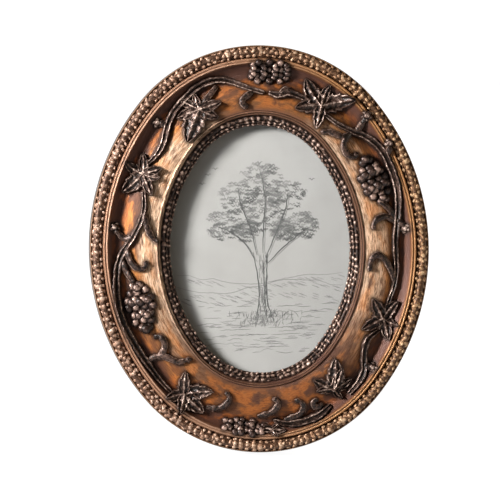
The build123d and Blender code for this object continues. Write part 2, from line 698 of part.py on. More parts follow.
# Hanging strap, with a barrel at its upper end, and its screw
with BuildPart() as hanger_strap:
    with BuildSketch(STRAP_SECTION):
        Circle(barrel_radius)
        with Locations((-STRAP_HEIGHT / 2, barrel_radius - STRAP_SHEET / 2)):
            Rectangle(STRAP_HEIGHT, STRAP_SHEET)
        Circle(RING_WIRE_RADIUS + PIN_CLEARANCE, mode=Mode.SUBTRACT)
    extrude(amount=STRAP_WIDTH / 2, both=True)
    with BuildSketch(BACK.offset(-STRAP_SHEET)):
        with Locations(strap_screw_place):
            Circle(SCREW_RADIUS + PIN_CLEARANCE)
    extrude(amount=STRAP_SHEET, mode=Mode.SUBTRACT)
finish(hanger_strap.part, "hanger_strap")

with BuildPart() as strap_screw:
    pan_screw(strap_screw_place, STRAP_SHEET)
finish(strap_screw.part, "strap_screw")

# Hanging ring: wire bent to a D, hanging plumb from the barrel
half_ring = RING_WIDTH / 2
ring_bottom = half_ring * RING_BOTTOM_SHARE
with BuildPart() as hanger_ring:
    with BuildLine(Plane(STRAP_SECTION.origin, x_dir=(1, 0, 0), z_dir=(0, -1, 0))) as bend:
        FilletPolyline(
            (-half_ring, 0),
            (half_ring, 0),
            (half_ring, -RING_DROP),
            (-half_ring, -RING_DROP),
            radius=(RING_CORNER, RING_CORNER, ring_bottom, ring_bottom),
            close=True,
        )
    with BuildSketch(Plane(bend.wire() ^ 0)):
        Circle(RING_WIRE_RADIUS)
    sweep(path=bend.wire())
finish(hanger_ring.part, "hanger_ring")
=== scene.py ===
"""Oval picture frame: moulding, carved vine, roped edge, pearls, picture, glass and the fittings behind."""

import logging
import math
from collections.abc import Sequence
from dataclasses import dataclass, field
from enum import Enum, auto
from functools import reduce
from typing import NamedTuple

import bmesh
import bpy
import numpy as np
from mathutils import Matrix, Vector
from mathutils.kdtree import KDTree


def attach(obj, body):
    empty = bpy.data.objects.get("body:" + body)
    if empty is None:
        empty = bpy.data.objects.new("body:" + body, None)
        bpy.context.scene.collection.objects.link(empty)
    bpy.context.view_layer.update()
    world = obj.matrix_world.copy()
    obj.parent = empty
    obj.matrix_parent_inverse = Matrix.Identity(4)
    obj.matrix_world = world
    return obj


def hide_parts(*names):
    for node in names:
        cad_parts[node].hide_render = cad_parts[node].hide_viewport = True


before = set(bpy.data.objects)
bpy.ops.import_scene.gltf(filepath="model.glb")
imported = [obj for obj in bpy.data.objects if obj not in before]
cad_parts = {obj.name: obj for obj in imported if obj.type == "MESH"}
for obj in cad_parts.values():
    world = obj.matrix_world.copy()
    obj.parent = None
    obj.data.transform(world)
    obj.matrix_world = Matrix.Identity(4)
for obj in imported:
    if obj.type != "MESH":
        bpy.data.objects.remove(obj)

MM = 0.001
SUNK = -0.4  # Height to which carved pieces reach below the moulding's front, in millimetres.
LOG = logging.getLogger("frame")
Socket = bpy.types.NodeSocket
Pair = tuple[float, float]
Triple = tuple[float, float, float]
Line = tuple[Pair, ...]
Colour = tuple[float, float, float, float]
Ends = tuple[float, float, float, float]  # Low and high end of a number, and what it becomes at each.
Ball = tuple[float, float, float, float]  # Place on the face, rise and radius, in millimetres.
Stroke = tuple[np.ndarray, float, float]  # Points, breadth and darkness of a pencil line.


class Slot(Enum):
    """Names of the record's material slots, which the script does not use."""

    GILT = "gilt_composition"
    BRONZE = "bronzed_composition"
    PAPER = "picture_paper"


class Body(Enum):
    """Names of the bodies that the new pieces ride on."""

    FRAME = "frame"


def tint(red: float, green: float, blue: float) -> Colour:
    """Return an opaque linear colour."""
    return (red, green, blue, 1.0)


def placed(name: str, data: bpy.types.ID) -> bpy.types.Object:
    """Add an object to the scene.

    Args:
        name: The object's name.
        data: The mesh, light or camera that it shows.

    Returns:
        The new object.
    """
    made = bpy.data.objects.new(name, data)
    bpy.context.scene.collection.objects.link(made)
    return made


def write_numbers(mesh: bpy.types.Mesh, name: str, values: np.ndarray) -> None:
    """Write one number for each point of a mesh as an attribute."""
    layer = mesh.attributes.new(name, "FLOAT", "POINT")
    layer.data.foreach_set("value", values.astype(np.float32))


class Noise(NamedTuple):
    """A noise texture: repeats per unit, finer layers, their strength and the coordinates' stretch."""

    scale: float
    detail: float
    rough: float
    stretch: Triple = (1.0, 1.0, 1.0)


class Graph:
    """A node tree that is filled step by step."""

    def __init__(self, tree: bpy.types.NodeTree) -> None:
        """Keep the tree that is filled."""
        self.tree = tree

    def node(self, kind: str, inputs: dict | None = None, **settings: str) -> bpy.types.Node:
        """Add a node.

        Args:
            kind: Blender's name of the node type.
            inputs: For an input's name or number, a socket to link or a constant.
            settings: The node's own settings.

        Returns:
            The new node.
        """
        made = self.tree.nodes.new(kind)
        for name, setting in settings.items():
            setattr(made, name, setting)
        for name, given in (inputs or {}).items():
            if isinstance(given, Socket):
                self.tree.links.new(given, made.inputs[name])
            else:
                made.inputs[name].default_value = given
        return made

    def out(self, kind: str, inputs: dict | None = None, **settings: str) -> Socket:
        """Add a node and return its first output."""
        return self.node(kind, inputs, **settings).outputs[0]

    def maths(self, operation: str, first: Socket | float, second: Socket | float = 0.0) -> Socket:
        """Return the result of a Math node."""
        return self.out("ShaderNodeMath", {0: first, 1: second}, operation=operation)

    def product(self, *factors: Socket | float) -> Socket:
        """Return the product of numbers."""
        return reduce(lambda made, factor: self.maths("MULTIPLY", made, factor), factors)

    def largest(self, *numbers: Socket) -> Socket:
        """Return the largest of some numbers."""
        return reduce(lambda made, number: self.maths("MAXIMUM", made, number), numbers)

    def split(self, vector: Socket) -> Sequence[Socket]:
        """Return the three coordinates of a vector."""
        return self.node("ShaderNodeSeparateXYZ", {0: vector}).outputs

    def join(self, *coordinates: Socket | float) -> Socket:
        """Return the vector of up to three coordinates."""
        return self.out("ShaderNodeCombineXYZ", dict(enumerate(coordinates)))


class Shader(Graph):
    """A material's node tree, with short ways to add its usual nodes."""

    def __init__(self, name: str) -> None:
        """Make an empty material.

        Args:
            name: The material's name.
        """
        self.material = bpy.data.materials.new(name)
        self.material.use_nodes = True
        super().__init__(self.material.node_tree)
        self.tree.nodes.clear()

    def number(self, name: str) -> Socket:
        """Return a number that the mesh carries."""
        return self.node("ShaderNodeAttribute", attribute_name=name).outputs["Fac"]

    def grain(self) -> Socket:
        """Return the outward direction on the oval and the depth across the face."""
        return self.node("ShaderNodeAttribute", attribute_name="grain").outputs["Vector"]

    def place(self) -> Socket:
        """Return the object coordinates."""
        return self.node("ShaderNodeTexCoord").outputs["Object"]

    def noise(self, place: Socket, noise: Noise) -> Socket:
        """Add a noise texture.

        Args:
            place: Coordinates that it reads.
            noise: Its settings.

        Returns:
            The noise as a number from 0 to 1.
        """
        place = self.out("ShaderNodeMapping", {"Vector": place, "Scale": noise.stretch})
        inputs = {"Vector": place, "Scale": noise.scale, "Detail": noise.detail, "Roughness": noise.rough}
        return self.out("ShaderNodeTexNoise", inputs)

    def ramp(self, factor: Socket, stops: Sequence[tuple[float, Colour]]) -> Socket:
        """Add a colour ramp.

        Args:
            factor: The number that picks the colour.
            stops: Places on the ramp and their colours, in order.

        Returns:
            The colour's socket.
        """
        made = self.node("ShaderNodeValToRGB", {0: factor})
        elements = made.color_ramp.elements
        while len(elements) < len(stops):
            elements.new(1.0)
        for element, (place, colour) in zip(elements, stops):
            element.position = place
            element.color = colour
        return made.outputs[0]

    def fade(self, number: Socket, low: float, high: float, start: float = 0.0, end: float = 1.0) -> Socket:
        """Return a number mapped from low and high onto start and end, and held beyond them."""
        return self.out("ShaderNodeMapRange", {0: number, 1: low, 2: high, 3: start, 4: end})

    def blend(
        self, share: Socket, first: Socket | Colour, second: Socket | Colour, mode: str = "MIX"
    ) -> Socket:
        """Return two colours mixed, with this share of the second."""
        made = self.node("ShaderNodeMix", {0: share, 6: first, 7: second}, data_type="RGBA", blend_type=mode)
        return made.outputs[2]

    def bump(self, height: Socket, depth: float, strength: float) -> Socket:
        """Return a normal for a height, given its depth in metres and the share that shows."""
        return self.out("ShaderNodeBump", {"Height": height, "Distance": depth, "Strength": strength})

    def finish(self, inputs: dict) -> bpy.types.Material:
        """Close the tree with a principled shader.

        Args:
            inputs: For a socket's name, a socket to link or a constant.

        Returns:
            The finished material.
        """
        surface = self.out("ShaderNodeBsdfPrincipled", inputs)
        self.node("ShaderNodeOutputMaterial", {"Surface": surface})
        return self.material


class Tree(Graph):
    """A geometry node tree with named inputs."""

    def __init__(self, name: str) -> None:
        """Make a tree that takes and gives a geometry.

        Args:
            name: The tree's name.
        """
        super().__init__(bpy.data.node_groups.new(name, "GeometryNodeTree"))
        for side in ("INPUT", "OUTPUT"):
            self.tree.interface.new_socket("Geometry", in_out=side, socket_type="NodeSocketGeometry")
        self.source = self.node("NodeGroupInput")

    def given(self, name: str, kind: str) -> Socket:
        """Add a named input and return its socket."""
        self.tree.interface.new_socket(name, in_out="INPUT", socket_type=kind)
        return self.source.outputs[name]

    def number(self, name: str) -> Socket:
        """Add a named number."""
        return self.given(name, "NodeSocketFloat")

    def count(self, name: str) -> Socket:
        """Add a named whole number."""
        return self.given(name, "NodeSocketInt")

    def curve(self, mesh: Socket) -> Socket:
        """Return the edges of a mesh as a curve."""
        return self.out("GeometryNodeMeshToCurve", {"Mesh": mesh})

    def sweep(self, path: Socket, outline: Socket) -> Socket:
        """Return an outline swept along a path, with its up direction kept."""
        level = self.out("GeometryNodeSetCurveNormal", {"Curve": path}, mode="Z_UP")
        return self.out("GeometryNodeCurveToMesh", {"Curve": level, "Profile Curve": outline})

    def ball(self, segments: Socket | int, rings: Socket | int, polish: Socket | float) -> Socket:
        """Add a ball of radius 1 that is rubbed bright on top.

        Args:
            segments: Number of its faces round.
            rings: Number of its rows of faces.
            polish: Power by which the wear falls off down its sides.

        Returns:
            The ball's socket.
        """
        ball = self.out("GeometryNodeMeshUVSphere", {"Segments": segments, "Rings": rings, "Radius": 1.0})
        up = self.split(self.out("GeometryNodeInputPosition"))[2]
        worn = self.maths("POWER", self.maths("MAXIMUM", up, 0.0), polish)
        return self.store(ball, "wear", worn)

    def store(self, shape: Socket, name: str, value: Socket, domain: str = "POINT") -> Socket:
        """Write a named number on a shape's points or instances and return the shape."""
        inputs = {"Geometry": shape, "Name": name, "Value": value}
        return self.out("GeometryNodeStoreNamedAttribute", inputs, data_type="FLOAT", domain=domain)

    def close(self, shape: Socket) -> None:
        """Realise the instances, set the material and end the tree.

        Args:
            shape: The geometry that the tree gives.
        """
        real = self.out("GeometryNodeRealizeInstances", {"Geometry": shape})
        smooth = self.out("GeometryNodeSetShadeSmooth", {"Geometry": real})
        finish = self.given("Material", "NodeSocketMaterial")
        dressed = self.out("GeometryNodeSetMaterial", {"Geometry": smooth, "Material": finish})
        self.node("NodeGroupOutput", {"Geometry": dressed})

    def grow(self, base: bpy.types.Mesh, values: dict) -> bpy.types.Mesh:
        """Run the tree on a base mesh.

        Args:
            base: The mesh that the tree starts from.
            values: For each named input, its value.

        Returns:
            The finished mesh.
        """
        holder = placed(base.name, base)
        modifier = holder.modifiers.new(self.tree.name, "NODES")
        modifier.node_group = self.tree
        for item in self.tree.interface.items_tree:
            if item.name in values and item.in_out == "INPUT":
                modifier[item.identifier] = values[item.name]
        graph = bpy.context.evaluated_depsgraph_get()
        grown = bpy.data.meshes.new_from_object(holder.evaluated_get(graph), depsgraph=graph)
        holder.modifiers.clear()
        bpy.data.objects.remove(holder)
        grown.name = base.name
        return grown


def run_of(path: np.ndarray) -> np.ndarray:
    """Return the distance along a line up to each of its points."""
    return np.concatenate([[0.0], np.cumsum(np.linalg.norm(np.diff(path, axis=0), axis=1))])


def mound(distance: np.ndarray | float, width: float) -> np.ndarray | float:
    """Return 1 at no distance, falling away smoothly over the width."""
    return np.exp(-((distance / width) ** 2))


@dataclass(frozen=True)
class Oval:
    """The four-centre oval of the outer edge, in millimetres on the face."""

    half_width: float = 115.0
    half_height: float = 137.5
    end_round_share: float = 1.066
    fine_steps: int = 20
    start_turn: float = 1e-6

    @property
    def end_radius(self) -> float:
        """Radius of the arcs at top and bottom."""
        return self.end_round_share * self.half_width**2 / self.half_height

    @property
    def side_radius(self) -> float:
        """Radius of the arcs at the sides."""
        reach = self.half_width**2 + self.half_height**2 - 2 * self.half_height * self.end_radius
        return reach / (2 * (self.half_width - self.end_radius))

    @property
    def end_centre(self) -> float:
        """Distance of the end arcs' centres from the middle."""
        return self.half_height - self.end_radius

    @property
    def side_centre(self) -> float:
        """Distance of the side arcs' centres beyond the middle."""
        return self.side_radius - self.half_width

    def place(self, turn: np.ndarray, inset: float) -> np.ndarray:
        """Find points of an inner oval by their outward direction.

        Args:
            turn: Outward directions, in radians from the right.
            inset: Distance inside the outer edge.

        Returns:
            One row of two coordinates for each direction.
        """
        across, up = np.cos(turn), np.sin(turn)
        side = np.abs(up) * self.side_centre < np.abs(across) * self.end_centre
        middle_across = np.where(side, -np.sign(across) * self.side_centre, 0.0)
        middle_up = np.where(side, 0.0, np.sign(up) * self.end_centre)
        radius = np.where(side, self.side_radius, self.end_radius) - inset
        return np.column_stack([middle_across + radius * across, middle_up + radius * up])

    def locate(self, spots: np.ndarray) -> tuple[np.ndarray, np.ndarray]:
        """Find the outward direction and inset of points.

        Args:
            spots: One row of two coordinates for each point.

        Returns:
            The directions in radians and the insets.
        """
        across, up = spots.T
        out = np.where(across < 0, -1.0, 1.0)
        side = np.abs(up) * self.side_centre < (np.abs(across) + self.side_centre) * self.end_centre
        from_across = np.where(side, across + out * self.side_centre, across)
        from_up = np.where(side, up, up - np.sign(up) * self.end_centre)
        inset = np.where(side, self.side_radius, self.end_radius) - np.hypot(from_across, from_up)
        return np.arctan2(from_up, from_across), inset

    def ring(self, inset: float, count: int) -> np.ndarray:
        """Return evenly spaced points of an inner oval.

        Args:
            inset: Distance inside the outer edge.
            count: Number of points.

        Returns:
            One row of two coordinates for each point.
        """
        turns = np.linspace(-math.pi, math.pi, self.fine_steps * count + 1) + self.start_turn
        fine = self.place(turns, inset)
        run = run_of(fine)
        wanted = np.linspace(0.0, run[-1], count, endpoint=False)
        return np.column_stack([np.interp(wanted, run, side) for side in fine.T])


def bowed(start: Pair, end: Pair, bow: float, count: int) -> list[Pair]:
    """Return points of an arc between two points.

    Args:
        start: First point.
        end: Last point.
        bow: Rise of the arc to the left of its chord.
        count: Number of steps.

    Returns:
        The points, both ends among them.
    """
    first, last = np.array(start), np.array(end)
    length = float(np.linalg.norm(last - first))
    along = (last - first) / length
    left = np.array([-along[1], along[0]])
    half = 2 * math.atan(2 * bow / length)
    radius = length / (2 * math.sin(half))
    points = []
    for turn in np.linspace(-half, half, count + 1):
        run = length / 2 + radius * math.sin(turn)
        rise = radius * (math.cos(turn) - math.cos(half))
        points.append(tuple(first + along * run + left * rise))
    return points


@dataclass(frozen=True)
class Section:
    """Cross-section of the moulding: inset from the outer edge and height above the back, in millimetres."""

    rim: Line = ((0.0, 0.0), (0.45, 4.0), (1.0, 8.5), (1.5, 11.6), (1.25, 12.4), (1.35, 13.5), (1.9, 14.2))
    seat: Line = ((2.6, 13.9), (3.0, 13.2), (8.4, 13.2), (9.2, 12.8), (9.8, 13.8))
    fillet: Line = (
        (10.0, 15.0), (10.5, 15.8), (11.1, 15.95), (11.6, 15.5), (11.9, 15.45), (12.3, 15.9), (12.9, 16.1),
        (13.4, 15.8),
    )
    cove_start: Pair = (13.7, 15.3)
    cove_end: Pair = (25.0, 12.2)
    cove_bow: float = -2.25
    swell_end: Pair = (45.0, 15.0)
    swell_bow: float = 1.6
    ridge: Line = (
        (45.2, 15.4), (45.6, 15.95), (46.1, 16.0), (46.45, 15.5), (46.6, 15.0), (46.8, 14.9), (47.1, 15.2),
        (47.5, 15.05), (47.7, 14.0),
    )
    lip: Line = ((48.3, 13.2), (53.2, 10.3), (53.8, 10.1), (54.0, 9.6))
    rabbet: Line = ((54.0, 6.8), (50.8, 6.8), (50.8, 0.0))
    cove_steps: int = 16
    swell_steps: int = 24

    def front(self) -> list[Pair]:
        """Put the front together from the bead seat to the sight edge.

        Returns:
            Its points.
        """
        cove = bowed(self.cove_start, self.cove_end, self.cove_bow, self.cove_steps)
        swell = bowed(self.cove_end, self.swell_end, self.swell_bow, self.swell_steps)
        return [*self.seat, *self.fillet, *cove, *swell[1:], *self.ridge, *self.lip]

    def outline(self) -> list[Pair]:
        """Return the whole closed outline."""
        return [*self.rim, *self.front(), *self.rabbet]

    def height(self, inset: np.ndarray) -> np.ndarray:
        """Return the height of the front at these insets."""
        places, heights = np.array([self.rim[-1], *self.front()]).T
        return np.interp(inset, places, heights)


@dataclass(frozen=True)
class Face:
    """The leaning front: an oval, its section and its place in the row frame."""

    oval: Oval = Oval()
    section: Section = Section()
    width: float = 54.0
    lean: float = math.radians(14.0)
    back: Triple = (0.0, 3.217, 133.416)
    grain_share: float = 11.0

    def matrix(self) -> Matrix:
        """Return the matrix from millimetres on the face to the row frame."""
        turn = Matrix.Rotation(math.pi / 2 - self.lean, 4, "X")
        return Matrix.Translation(Vector(self.back) * MM) @ turn @ Matrix.Scale(MM, 4)

    def lift(self, spots: np.ndarray, rise: np.ndarray | float) -> np.ndarray:
        """Return points of two coordinates set at a rise above the moulding's front."""
        height = self.section.height(self.oval.locate(spots)[1]) + rise
        return np.column_stack([spots, height])

    def stamp(self, mesh: bpy.types.Mesh) -> None:
        """Write inset, height and grain onto a mesh.

        Args:
            mesh: The mesh, in millimetres on the face.
        """
        rows = np.empty(3 * len(mesh.vertices))
        mesh.vertices.foreach_get("co", rows)
        rows = rows.reshape(-1, 3)
        turn, inset = self.oval.locate(rows[:, :2])
        share = inset / self.width
        write_numbers(mesh, "inset", share)
        write_numbers(mesh, "height", rows[:, 2])
        grain = np.column_stack([np.cos(turn), np.sin(turn), self.grain_share * share])
        layer = mesh.attributes.new("grain", "FLOAT_VECTOR", "POINT")
        layer.data.foreach_set("vector", grain.astype(np.float32).ravel())


@dataclass
class Carving:
    """Points and faces of a carved piece, gathered on the face in millimetres."""

    points: list[np.ndarray] = field(default_factory=list)
    faces: list[tuple[int, ...]] = field(default_factory=list)
    wear: list[np.ndarray] = field(default_factory=list)
    size: int = 0

    def add(
        self, points: np.ndarray, faces: Sequence[tuple[int, ...]], wear: np.ndarray | None = None
    ) -> None:
        """Add points and the faces between them.

        Args:
            points: One row of three coordinates for each point.
            faces: The faces as numbers of these points.
            wear: How far each point is rubbed bright, from 0 to 1.
        """
        self.points.append(points)
        self.faces.extend(tuple(i + self.size for i in face) for face in faces)
        self.wear.append(np.zeros(len(points)) if wear is None else wear)
        self.size += len(points)

    def mesh(self, name: str) -> bpy.types.Mesh:
        """Make the gathered mesh.

        Args:
            name: The mesh's name.

        Returns:
            The mesh.
        """
        made = bpy.data.meshes.new(name)
        made.from_pydata(np.concatenate(self.points).tolist(), [], self.faces)
        write_numbers(made, "wear", np.concatenate(self.wear))
        return made


def at_height(spots: np.ndarray, height: float) -> np.ndarray:
    """Return points of two coordinates with the same third."""
    return np.column_stack([spots, np.full(len(spots), height)])


def loop_mesh(name: str, points: np.ndarray) -> bpy.types.Mesh:
    """Return a mesh of one closed line.

    Args:
        name: The mesh's name.
        points: One row of three coordinates for each point.

    Returns:
        The mesh.
    """
    made = bpy.data.meshes.new(name)
    count = len(points)
    made.from_pydata(points.tolist(), [(i, (i + 1) % count) for i in range(count)], [])
    return made


def tube_faces(rows: int, columns: int) -> list[tuple[int, ...]]:
    """Return the faces of a closed tube.

    Args:
        rows: Number of rings along the tube.
        columns: Number of points in a ring.

    Returns:
        The quads and both end faces as point numbers.
    """
    faces: list[tuple[int, ...]] = []
    last = (rows - 1) * columns
    for start in range(0, last, columns):
        ahead = start + columns
        for here in range(columns):
            beside = (here + 1) % columns
            faces.append((start + here, start + beside, ahead + beside, ahead + here))
    return [*faces, tuple(range(columns)), tuple(range(last, last + columns))]


def smooth_path(points: np.ndarray, steps: int) -> np.ndarray:
    """Return a smooth line through points.

    Args:
        points: One row of two coordinates for each point.
        steps: Number of steps between two points.

    Returns:
        The points of the line.
    """
    ends = np.vstack([2 * points[0] - points[1], points, 2 * points[-1] - points[-2]])
    share = np.linspace(0.0, 1.0, steps, endpoint=False)[:, None]
    spans = []
    for a, b, c, d in zip(ends, ends[1:], ends[2:], ends[3:]):
        curve = 2 * b + (c - a) * share
        curve += (2 * a - 5 * b + 4 * c - d) * share**2 + (3 * b - a - 3 * c + d) * share**3
        spans.append(curve / 2)
    return np.vstack([*spans, points[-1:]])


def across_of(path: np.ndarray) -> np.ndarray:
    """Find the unit vectors across a line, to its left.

    Args:
        path: One row of two coordinates for each point.

    Returns:
        One vector for each point.
    """
    along = np.gradient(path, axis=0)
    along /= np.linalg.norm(along, axis=1)[:, None]
    return np.column_stack([-along[:, 1], along[:, 0]])


class Bench:
    """Turns finished meshes into pieces of the object."""

    def __init__(self, face: Face) -> None:
        """Keep the face on which pieces are placed."""
        self.face = face
        self.footprints: list[np.ndarray] = []

    def register(
        self, mesh: bpy.types.Mesh, finish: bpy.types.Material, nodes: Sequence[str] = ()
    ) -> None:
        """Place a mesh in the row frame and register it.

        Args:
            mesh: The mesh, in millimetres on the face.
            finish: Its material.
            nodes: CAD nodes that it stands for.
        """
        mesh.transform(self.face.matrix())
        mesh.materials.clear()
        mesh.materials.append(finish)
        made = placed(mesh.name, mesh)
        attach(made, Body.FRAME.value)
        if nodes:
            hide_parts(*nodes)
        LOG.info("%s: %d faces", made.name, len(mesh.polygons))

    def piece(
        self,
        mesh: bpy.types.Mesh,
        finish: bpy.types.Material,
        nodes: Sequence[str],
        sharp: float = 40.0,
    ) -> None:
        """Smooth, stamp and register a solid piece.

        Args:
            mesh: The mesh, in millimetres on the face.
            finish: Its material.
            nodes: CAD nodes that it stands for.
            sharp: Angle in degrees above which an edge stays sharp.
        """
        shell = bmesh.new()
        shell.from_mesh(mesh)
        bmesh.ops.recalc_face_normals(shell, faces=shell.faces)
        shell.to_mesh(mesh)
        shell.free()
        self.face.stamp(mesh)
        mesh.shade_smooth()
        mesh.set_sharp_from_angle(angle=math.radians(sharp))
        self.register(mesh, finish, nodes)


class Read(Enum):
    """Numbers that the gilt's masks read: noises, insets, the direction on the oval and the wash."""

    STREAK = auto()
    BLOTCH = auto()
    FLAME = auto()
    THREAD = auto()
    INSET = auto()
    INNER = auto()
    SIGHT = auto()
    ACROSS = auto()
    UP = auto()
    WASH = auto()


class Mask(NamedTuple):
    """A number that is read, both ends of its range and what it becomes at each."""

    reads: Read
    low: float
    high: float
    start: float = 0.0
    end: float = 1.0


@dataclass(frozen=True)
class Layer:
    """A colour over the gilt: its share is the largest of its ways, each times the product of its masks."""

    colour: Colour
    masks: tuple[Mask, ...]
    ways: tuple[tuple[Mask, ...], ...] = ((),)
    mode: str = "MIX"

    def lay(self, shader: Shader, reads: dict[Read, Socket], under: Socket) -> Socket:
        """Lay the colour over another.

        Args:
            shader: The tree that takes the nodes.
            reads: The numbers that masks read.
            under: The colour below.

        Returns:
            The new colour's socket.
        """
        shares = []
        for way in self.ways:
            factors = [shader.fade(reads[mask.reads], *mask[1:]) for mask in (*self.masks, *way)]
            shares.append(shader.product(*factors))
        return shader.blend(shader.largest(*shares), under, self.colour, self.mode)


# Masks that keep a layer on the hollow and the swell, and a dark colour that stands both for gilt rubbed off
# and for painted shade.
FRONT = (Mask(Read.INSET, 0.28, 0.35), Mask(Read.INSET, 0.82, 0.75))
WORN_AND_SHADE = tint(0.088, 0.038, 0.026)


@dataclass(frozen=True)
class GiltFinish:
    """Brushed gilt with a dark hollow, by the place across the moulding, with painted highlights at the
    sides, painted shade at the top, bottom and left and in the hollow on the right, and a painted warm light
    tint on the right.
    """

    bands: tuple[tuple[float, Colour], ...] = (
        (0.0, tint(0.030, 0.019, 0.014)), (0.02, tint(0.040, 0.024, 0.016)),
        (0.028, tint(0.22, 0.120, 0.065)), (0.046, tint(0.17, 0.085, 0.042)),
        (0.06, tint(0.11, 0.058, 0.036)), (0.172, tint(0.20, 0.105, 0.064)),
        (0.190, tint(0.28, 0.140, 0.080)), (0.208, tint(0.46, 0.27, 0.175)),
        (0.222, tint(0.20, 0.090, 0.046)), (0.235, tint(0.50, 0.30, 0.200)),
        (0.25, tint(0.16, 0.068, 0.035)), (0.27, tint(0.095, 0.041, 0.027)),
        (0.44, tint(0.110, 0.043, 0.025)), (0.54, tint(0.150, 0.055, 0.024)),
        (0.62, tint(0.15, 0.055, 0.021)), (0.72, tint(0.19, 0.078, 0.031)),
        (0.80, tint(0.17, 0.078, 0.038)), (0.826, tint(0.20, 0.090, 0.048)),
        (0.836, tint(0.035, 0.015, 0.009)), (0.848, tint(0.27, 0.135, 0.080)),
        (0.862, tint(0.04, 0.018, 0.011)), (0.874, tint(0.22, 0.110, 0.065)),
        (0.892, tint(0.026, 0.014, 0.010)),
    )
    noises: tuple[tuple[Read, Noise], ...] = (
        (Read.STREAK, Noise(6.0, 6.0, 0.68, (3.2, 3.2, 1.0))),
        (Read.BLOTCH, Noise(3.0, 5.0, 0.62, (2.6, 2.6, 0.26))),
        (Read.FLAME, Noise(4.0, 3.0, 0.5, (1.7, 1.7, 0.20))),
        (Read.THREAD, Noise(7.0, 5.0, 0.7, (3.6, 3.6, 2.2))),
    )
    # Shifts of the inset by side, which move the painted highlight's band.
    inner_shift: Ends = (0.2, 0.7, 0.0, 0.07)
    sight_shift: Ends = (0.0, 0.5, 0.0, 0.05)
    rust: Layer = Layer(tint(0.40, 0.110, 0.022), (*FRONT, Mask(Read.FLAME, 0.46, 0.58, 0.0, 0.85)))
    gold: Layer = Layer(
        tint(0.63, 0.250, 0.062),
        (
            *FRONT,
            Mask(Read.INSET, 0.40, 0.50),
            Mask(Read.STREAK, 0.64, 0.42, 0.3),
            Mask(Read.FLAME, 0.38, 0.54, 0.3),
            # Painted shade: less gold towards the top and bottom.
            Mask(Read.UP, 0.70, 0.95, 1.0, 0.35),
            Mask(Read.UP, -0.35, -0.8, 1.0, 0.3),
        ),
    )
    # Painted highlight: a light peach sheen on the inner swell at the left and right sides, fading towards
    # the bottom and broken by the streak and flame noise.
    painted_highlight: Layer = Layer(
        tint(1.0, 0.72, 0.50),
        (
            Mask(Read.INNER, 0.585, 0.66),
            Mask(Read.SIGHT, 0.895, 0.87),
            Mask(Read.STREAK, 0.60, 0.44, 0.15),
            Mask(Read.FLAME, 0.60, 0.46, 0.45),
            Mask(Read.UP, -0.62, -0.22, 0.12),
        ),
        ((Mask(Read.ACROSS, -0.40, -0.75),), (Mask(Read.ACROSS, 0.50, 0.85, 0.0, 0.72),)),
    )
    rubbed: Layer = Layer(
        WORN_AND_SHADE,
        FRONT,
        ((Mask(Read.STREAK, 0.54, 0.70, 0.0, 0.7),), (Mask(Read.BLOTCH, 0.54, 0.68, 0.0, 0.85),)),
    )
    # Painted shade: the inner panel darker towards the bottom, most at the lower right, broken by the flame
    # noise.
    foot: Layer = Layer(
        WORN_AND_SHADE,
        (
            Mask(Read.UP, -0.15, -0.6, 0.0, 0.75),
            Mask(Read.INSET, 0.54, 0.62),
            Mask(Read.ACROSS, -0.6, 0.3, 0.5),
            Mask(Read.FLAME, 0.45, 0.56, 1.0, 0.25),
        ),
    )
    # Painted shade: the dark colour over the hollow and outer swell at the left and at the top, and over the
    # hollow on the right where the lamp falls on its outer wall.
    shaded: Layer = Layer(
        WORN_AND_SHADE,
        (Mask(Read.INSET, 0.25, 0.28),),
        (
            (
                Mask(Read.ACROSS, -0.45, -0.85, 0.0, 0.75),
                Mask(Read.UP, -0.5, -0.2),
                Mask(Read.INSET, 0.64, 0.58),
                Mask(Read.FLAME, 0.44, 0.54, 1.0, 0.15),
            ),
            (
                Mask(Read.UP, 0.55, 0.85, 0.0, 0.6),
                Mask(Read.INSET, 0.64, 0.58),
                Mask(Read.FLAME, 0.44, 0.54, 1.0, 0.15),
            ),
            (Mask(Read.ACROSS, 0.2, 0.7, 0.0, 0.8), Mask(Read.INSET, 0.42, 0.34)),
        ),
    )
    # Painted warm light: the rim and fillet tinted yellower towards the right side.
    painted_warm_light: Layer = Layer(
        tint(1.0, 0.86, 0.52),
        (Mask(Read.ACROSS, -0.3, 0.6, 0.0, 0.9), Mask(Read.INSET, 0.27, 0.25)),
        mode="MULTIPLY",
    )
    threads: Layer = Layer(tint(0.040, 0.016, 0.010), (*FRONT, Mask(Read.THREAD, 0.50, 0.64, 0.0, 0.6)))
    wash: Layer = Layer(
        tint(0.022, 0.012, 0.009), (Mask(Read.WASH, 0.0, 1.0), Mask(Read.STREAK, 0.25, 0.6, 1.0, 0.7))
    )
    wander: Ends = (0.3, 0.7, -0.004, 0.004)
    back_colour: Colour = tint(0.040, 0.026, 0.019)
    back_worn: Colour = tint(0.095, 0.062, 0.043)
    back_streaks: Ends = (0.42, 0.66, 0.0, 0.9)
    back_heights: Pair = (2.0, 6.0)
    gloss: Ends = (0.3, 0.7, 0.28, 0.50)
    tooth: Noise = Noise(26.0, 3.0, 0.6, (2.0, 2.0, 1.0))
    relief: Pair = (0.0005, 0.6)
    metallic: float = 0.25
    specular: float = 0.25

    def reads(self, shader: Shader, grain: Socket) -> dict[Read, Socket]:
        """Add the numbers that masks read.

        Args:
            shader: The tree that takes the nodes.
            grain: The direction on the oval and the depth across the face.

        Returns:
            For each kind of number, its socket.
        """
        across, up, _ = shader.split(grain)
        inset = shader.number("inset")
        inner = shader.maths("ADD", inset, shader.fade(across, *self.inner_shift))
        sight = shader.maths("ADD", inset, shader.fade(across, *self.sight_shift))
        found = {kind: shader.noise(grain, noise) for kind, noise in self.noises}
        found |= {Read.INSET: inset, Read.INNER: inner, Read.SIGHT: sight}
        return found | {Read.ACROSS: across, Read.UP: up, Read.WASH: shader.number("wash")}

